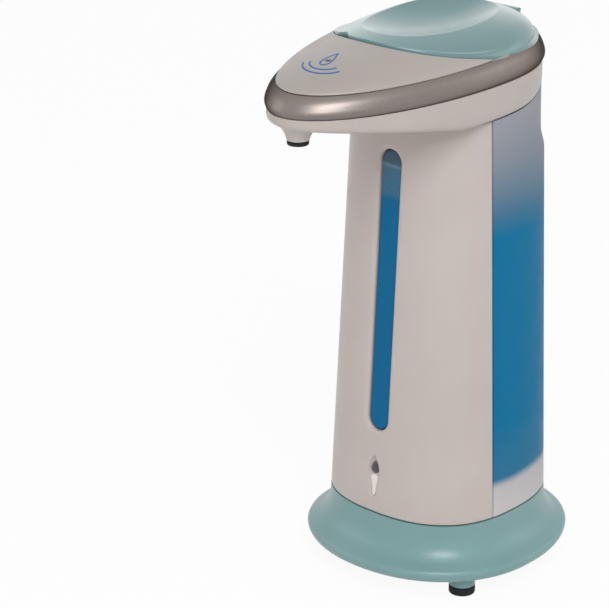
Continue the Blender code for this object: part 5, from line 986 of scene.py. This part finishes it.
def tank():
    """Rings in the order above; over the top they go from the section to the neck's circle by a share."""
    up = [[FOOT_HEIGHT, FOOT_HEIGHT + 0.3], np.linspace(28, 148, 40), np.linspace(149, TANK_TOP, 24)]
    up = np.concatenate(up)[:, None]
    outside = grid_of(*tank_ring(up[:, 0], np.where(up < FOOT_HEIGHT + 0.2, 0.3, 0.0)), up)
    last_x, last_y = tank_ring([UNDER_HEAD])
    bearing = np.arctan2(last_y - NECK_Y, last_x)
    circle = circles(bearing, NECK_RADIUS, 0.0, NECK_Y, NECK_TOP)
    share = np.append(0.0, np.linspace(0.04, 1, 20))[:, None]
    over_x, over_y = last_x + (circle[..., 0] - last_x) * share, last_y + (circle[..., 1] - last_y) * share
    over = grid_of(over_x, over_y, hull_bottom(over_x, over_y) - HEAD_SEAM)
    mouth = np.array([(0.0, 0.4), (0.4, 0.0), (1.1, 0.0), (1.5, 0.4), (1.5, NECK_TOP - NECK_FOOT)])
    neck = circles(bearing, NECK_RADIUS - mouth[:, :1], 0.0, NECK_Y, NECK_TOP - mouth[:, 1:])
    in_up = np.concatenate([[NECK_FOOT], np.linspace(158, 40, 24), [TANK_FLOOR]])
    inside = grid_of(*tank_ring(in_up, TANK_WALL), in_up[:, None])
    under_up = np.array([RECESS_TOP, FOOT_HEIGHT])
    under = grid_of(*tank_ring(under_up, RECESS_INSET), under_up[:, None])
    rows = with_poles(np.concatenate([under, outside, over, neck, inside]))
    return piece("tank", [rows], TANK, ["soap_tank"])


tank()

# %% [markdown]
# ## Sight rib
# The tank's front wall pushes a polished rib through the slot, so the soap's level can be seen. It has
# the slot's outline less a hair, and its edges are rounded. It is made apart from the tank's skin,
# because it is polished and the skin is frosted.

# %% Sight rib
RIB_EDGE, RIB_DEPTH, RIB_POINTS = 0.7, 1.3, 48


def sight_rib():
    """Rings of the slot's outline: a wall up to the edge, a quarter round over it, and the face drawn in."""
    radius = SLOT_WIDTH / 2 - GAP
    low, high = SLOT_LOW + GAP + radius, SLOT_HIGH - GAP - radius
    over = np.linspace(0, math.pi, RIB_POINTS)
    turn = np.concatenate([over, over + math.pi])
    ends = np.repeat([high, low], RIB_POINTS)

    def ring(radius, depth):
        height = ends + radius * np.sin(turn)
        return grid_of(radius * np.cos(turn), RIB_DEPTH - column_sizes(height)[1] + depth, height)[None]

    angle = np.linspace(0, math.pi / 2, 8)[:, None]
    rounding = [ring(radius - RIB_EDGE * (1 - np.cos(a)), RIB_EDGE * (1 - np.sin(a))) for a in angle]
    face = [ring((radius - RIB_EDGE) * share, 0.0) for share in (0.8, 0.55, 0.3, 0.1)]
    back = rounding[0].copy()
    back[..., 1] = TANK_SEAM + 0.4
    spine, spine_back = face[-1] * (0, 1, 1), back * (0, 1, 1)
    for line in (spine, spine_back):
        line[..., 2] = np.clip(line[..., 2], low, high)
    rows = np.concatenate([spine_back, back, *rounding, *face, spine])
    return piece("sight_rib", [rows], SIGHT_SOAP_AND_PAINTED_SHADE, ["soap_tank"])


sight_rib()

# %% [markdown]
# ## Base
# The base flares out from the column's foot in a hollow curve and ends in a thick rounded rim. The
# profile is a smooth curve through a few chosen shares of reach and height, which are easier to match
# to the real flare than one formula, and carrying it round the ovals gives the skirt. Inside, a collar
# locates the column.

# %% Base skirt
RIM, RIM_POWER = (44.7, 42.3, 50.2), 2.12
BASE_TOP, RIM_HEIGHT, UNDERSIDE = 25.58, 10.8, 7.5
RIM_TURN_IN, SKIRT_WALL, CEILING = 2.6, 2.0, 2.2
LEDGE_HEIGHT, LEDGE_INSETS = 2.0, (4.4, 4.7)
COLLAR_STEPS, COLLAR_INSETS = (-2.0, 4.2, 4.5, 0.0), (5.0, 5.0, 3.0, 3.0)
REACH_SHARES = (0.0, 0.035, 0.12, 0.27, 0.50, 0.76, 0.93, 1.0)
DROP_SHARES = (0.0, 0.24, 0.46, 0.64, 0.78, 0.87, 0.93, 1.0)


def base_ring(reach, height, inset=0.0):
    """An oval between the column's foot and the rim, by a share of reach."""
    reach, height, inset = (np.reshape(value, (-1, 1)).astype(float) for value in (reach, height, inset))
    half, front, rear = (foot + (rim - foot) * reach - inset for foot, rim in zip(COLUMN_FOOT, RIM))
    powers = [power + (RIM_POWER - power) * reach for power in (COLUMN_POWER, COLUMN_REAR_POWER)]
    return grid_of(*oval(TURNS, half, front, rear, 0.0, *powers), height)


def base_skirt():
    """Under the rim, a quarter round: it sinks by the sine of the angle and turns in by 1 less the cosine."""
    reach, drop = through(REACH_SHARES, 8), through(DROP_SHARES, 8) * (RIM_HEIGHT - BASE_TOP)
    flare = base_ring(reach, BASE_TOP + drop)
    under = np.linspace(0, math.pi / 2, 12)[1:]
    sunk, turned_in = (RIM_HEIGHT - UNDERSIDE) * np.sin(under), RIM_TURN_IN * (1 - np.cos(under))
    turn_in = base_ring(1.0, RIM_HEIGHT - sunk, turned_in)
    ledge = base_ring(1.0, [UNDERSIDE, UNDERSIDE + LEDGE_HEIGHT], LEDGE_INSETS)
    inside = base_ring(reach[::-6], BASE_TOP - CEILING + drop[::-6] * 0.95, SKIRT_WALL)
    collar = base_ring(0.0, BASE_TOP + np.array(COLLAR_STEPS), COLLAR_INSETS)
    rows = np.concatenate([flare, turn_in, ledge, inside, collar, flare[:1]])
    return piece("base_flare", [rows], TEAL_ABS, ["base_skirt"])


base_skirt()

# %% [markdown]
# ## Turned pieces
# The nozzle tip, rubber feet and status light are round. A profile of radius and height, carried round
# an upright axis, makes each of them.

# %% Nozzle tip, feet and status light
QUARTER = math.pi / 2
LIGHT_Y, LIGHT_RADIUS = -55.5, 1.2


def turned(profile, x, y, points=72):
    """Each (radius, height) of a profile becomes a ring."""
    turn = np.linspace(0, math.tau, points, endpoint=False)[None, :]
    radius, height = np.array(profile, float).T[..., None]
    return circles(turn, radius, x, y, height)


def rounded(corner_radius, corner_height, radius, first, last, steps=6):
    """Points of a quarter round about a corner's centre."""
    angle = np.linspace(first, last, steps)
    return list(zip(corner_radius + radius * np.cos(angle), corner_height + radius * np.sin(angle)))


TIP_PROFILE = [
    (1.1, 174.0), (2.1, 174.0), (2.1, 170.0), *rounded(3.35, 169.75, 0.25, QUARTER, 0),
    *rounded(3.2, 169.0, 0.4, 0, -QUARTER), (1.4, 168.6), (1.1, 168.9), (1.1, 174.0)]
FOOT_PROFILE = [
    (0.0, 0.0), (3.7, 0.0), *rounded(4.0, 0.6, 0.6, -QUARTER, 0),
    *rounded(4.2, 2.6, 0.4, 0, QUARTER), (1.6, 3.0), (1.6, 6.0), (0.0, 6.0)]

piece("nozzle_ring", [turned(TIP_PROFILE, 0.0, -NOZZLE_REACH)], RUBBER, ["nozzle_tip"])
for number in (1, 2, 3):
    node = f"rubber_foot_{number}"
    low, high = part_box(node)
    x, y = (low.x + high.x) / 2 / MM, (low.y + high.y) / 2 / MM - AXIS_Y / MM
    piece(f"foot_pad_{number}", [turned(FOOT_PROFILE, x, y)], RUBBER, [node])

light_top = float(dome_height(0, LIGHT_Y)) + GAP
crown = np.linspace(0.2, QUARTER, 8)
crown_radius, crown_height = LIGHT_RADIUS * np.cos(crown), light_top - 0.1 + 0.3 * np.sin(crown)
light_profile = [
    (0.0, light_top - 2.0), (LIGHT_RADIUS, light_top - 2.0), (LIGHT_RADIUS, light_top - 0.1),
    *zip(crown_radius, crown_height)]
piece("status_lamp", [turned(light_profile, 0.0, LIGHT_Y, 40)], LENS, ["status_light"])

# %% [markdown]
# ## A sign for the sensor
# Pads print such signs on the head after moulding. This one is made up for the lesson: a drop over two
# open arcs, which says that the head senses and lets drops fall. Each line is a raised stroke 0.08 mm
# thick, laid on the dome by its height formula.

# %% Printed sign
INK_MM = 0.08
DROP_Y, DROP_LENGTH, DROP_WIDTH, DROP_LINE = -55.0, 4.0, 2.5, 0.32
ARC_Y, ARC_RADII, ARC_LINE, ARC_SQUASH = -55.6, (6.3, 8.6), 0.34, 0.95


def stroke(x, y, half_width):
    """A ribbon along a path: its direction by differences, its sides half a width to left and right of it."""
    along_x, along_y = np.gradient(x), np.gradient(y)
    scale = half_width / np.hypot(along_x, along_y)
    across = np.array([-1.0, -0.9, 0.9, 1.0, 0.0])
    lift = GAP + np.array([-0.05, INK_MM, INK_MM, -0.05, -0.05])
    ribbon_x = x[:, None] - (along_y * scale)[:, None] * across
    ribbon_y = y[:, None] + (along_x * scale)[:, None] * across
    return with_poles(grid_of(ribbon_x, ribbon_y, dome_height(ribbon_x, ribbon_y) + lift))


def printed_sign():
    """The drop: x is width * sin t * sin(t / 2) ^ 1.4 and y is length * cos t. The arcs are squashed a bit."""
    turn = np.linspace(0.0, math.tau, 90)
    drop_x = DROP_WIDTH * np.sin(turn) * np.sin(turn / 2) ** 1.4
    strokes = [stroke(drop_x, DROP_Y + DROP_LENGTH * np.cos(turn), DROP_LINE)]
    arc = np.linspace(math.radians(205), math.radians(335), 60)
    for radius in ARC_RADII:
        strokes.append(stroke(radius * np.cos(arc), ARC_Y + radius * ARC_SQUASH * np.sin(arc), ARC_LINE))
    return piece("printed_sign", strokes, BLUE_INK)


printed_sign()

# %% [markdown]
# ## The other solids keep their shape
# What lies inside or underneath keeps its CAD mesh and gets its finish here.

# %% Finishes of the carried-over solids
SCREWS = [f"{place}_screw_{number}" for place in ("pump", "head", "bracket", "base") for number in (1, 2)]
CONTACTS = ["contact_strip_front", "contact_strip_rear"]
FINISH_OF = {
    TEAL_ABS: ["base_plate", "battery_door"],
    BRACKET_ABS: ["filler_tray", "motor_bracket", "pump_body", "pump_cover"],
    BLACK_ABS: ["switch_housing", "switch_knob", "control_chip"],
    SOAP: ["soap_fill"],
    TUBE: ["dip_tube", "suction_hose", "outlet_tube"],
    RUBBER: ["motor_leads", "neck_gasket"],
    LENS: ["ir_emitter", "ir_receiver"],
    STEEL: ["hinge_pin", "motor_can", "capacitor", "base_screw_3", *SCREWS, *CONTACTS],
    BRASS: ["motor_pinion"],
    NYLON: ["reduction_gear", "pump_drive_gear", "pump_idle_gear"],
    BOARD: ["control_board", "sensor_board"],
    WRAP: [f"battery_{number}" for number in (1, 2, 3, 4)],
}
dressed = {name for names in FINISH_OF.values() for name in names}
for finish, names in FINISH_OF.items():
    for name in names:
        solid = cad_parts[name]
        solid.data.materials.clear()
        solid.data.materials.append(finish)
hidden = {name for name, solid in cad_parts.items() if solid.hide_render}
print("solids left undressed:", sorted(set(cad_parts) - dressed - hidden))

# %% [markdown]
# ## Floor and light
# A pale floor and a white surround, as in a studio sweep. The surround is white to the camera, to
# reflections and to what is seen through plastic, but lights the object less, so colours stay as
# written. A large soft lamp stands high beside the camera, as in the photograph, where the casing is
# brightest right of its middle. Three weak ones fill the left and the rear.

# %% Stage
FLOOR_GLOW, SURROUND_LIGHT = 0.93, 0.38
FLOOR_HALF_SIZE, FLOOR_DROP = 4.0, 0.0001
LAMP_TARGET = (0.0, 0.0, 0.1)


def seen_directly(tree):
    """1 for a camera, glossy or transmission ray and 0 for one that only lights, as the largest of three."""
    path = add_node(tree, "ShaderNodeLightPath").outputs
    seen = path["Is Camera Ray"]
    for other in ("Is Glossy Ray", "Is Transmission Ray"):
        seen = add_node(tree, "ShaderNodeMath", {0: seen, 1: path[other]}, operation="MAXIMUM").outputs[0]
    return seen


def floor():
    """A square sheet: plain white to light, mixed with a glow of strength 1 where it is seen directly."""
    made, tree, shader = new_material("studio_sweep", "#ffffff", Roughness=0.9)
    share = add_node(tree, "ShaderNodeMath", {0: seen_directly(tree), 1: FLOOR_GLOW}, operation="MULTIPLY")
    glow = add_node(tree, "ShaderNodeEmission", {"Color": (1, 1, 1, 1), "Strength": 1.0})
    parts = {0: share.outputs[0], 1: shader.outputs[0], 2: glow.outputs[0]}
    both = add_node(tree, "ShaderNodeMixShader", parts)
    tree.links.new(both.outputs[0], tree.nodes["Material Output"].inputs["Surface"])
    corners = [(-1, -1, 0), (1, -1, 0), (1, 1, 0), (-1, 1, 0)]
    mesh = bpy.data.meshes.new("floor")
    mesh.from_pydata([Vector(corner) * FLOOR_HALF_SIZE for corner in corners], [], [(0, 1, 2, 3)])
    obj = bpy.data.objects.new("floor", mesh)
    obj.location.z = -FLOOR_DROP
    obj.data.materials.append(made)
    bpy.context.scene.collection.objects.link(obj)


def surround():
    """The world's strength is 1 where it is seen directly, and less where it only lights."""
    world = bpy.data.worlds.new("studio")
    bpy.context.scene.world = world
    world.use_nodes = True
    tree = world.node_tree
    levels = {"Value": seen_directly(tree), "To Min": SURROUND_LIGHT, "To Max": 1.0}
    strength = add_node(tree, "ShaderNodeMapRange", levels).outputs["Result"]
    background = tree.nodes["Background"]
    background.inputs["Color"].default_value = (1, 1, 1, 1)
    tree.links.new(strength, background.inputs["Strength"])


def lamp(name, place, size, power):
    """A square lamp, its side in metres and its power in watts, turned to face the object."""
    data = bpy.data.lights.new(name, "AREA")
    data.size, data.energy = size, power
    obj = bpy.data.objects.new(name, data)
    obj.location = place
    obj.rotation_euler = (Vector(LAMP_TARGET) - Vector(place)).to_track_quat("-Z", "Y").to_euler()
    bpy.context.scene.collection.objects.link(obj)


floor()
surround()
lamp("key", (0.92, -0.88, 1.25), 0.8, 17.0)
lamp("fill", (-1.3, -0.8, 0.8), 0.9, 2.0)
lamp("rear_left", (-0.9, 1.1, 0.8), 1.2, 1.4)
lamp("rear_right", (0.9, 1.25, 0.7), 1.0, 2.2)
print("lamps:", [light.name for light in bpy.data.lights])

# %% [markdown]
# ## Camera
# The photograph was taken from the front right and above, 40 degrees round and 21 degrees up, from
# about 93 cm away. The lens is long, so the object is nearly undistorted.

# %% Camera
AZIMUTH, ELEVATION, DISTANCE = math.radians(40.0), math.radians(20.7), 0.934
MIDDLE = Vector((0, AXIS_Y, 0.1))
AIM_LEFT, AIM_DOWN = 0.0456, 0.0064
LENS_MM, SENSOR_MM = 159.0, 36.0


def camera():
    """Stands back from the middle along the bearing; its aim lies left of and below the middle."""
    right = Vector((math.cos(AZIMUTH), math.sin(AZIMUTH), 0))
    level = Vector((math.sin(AZIMUTH), -math.cos(AZIMUTH), 0))
    back = level * math.cos(ELEVATION) + Vector((0, 0, math.sin(ELEVATION)))
    place = MIDDLE + back * DISTANCE
    aim = MIDDLE - AIM_LEFT * right - AIM_DOWN * back.cross(right)
    forward = (aim - place).normalized()
    side = forward.cross(Vector((0, 0, 1))).normalized()
    turned_to = Matrix((side, side.cross(forward), -forward)).transposed().to_4x4()
    data = bpy.data.cameras.new("camera")
    data.lens, data.sensor_width = LENS_MM, SENSOR_MM
    obj = bpy.data.objects.new("camera", data)
    obj.matrix_world = Matrix.Translation(place) @ turned_to
    bpy.context.scene.collection.objects.link(obj)
    bpy.context.scene.camera = obj


camera()
bpy.context.scene.view_settings.view_transform = "Standard"
print("camera", round(DISTANCE * 100), "cm away")
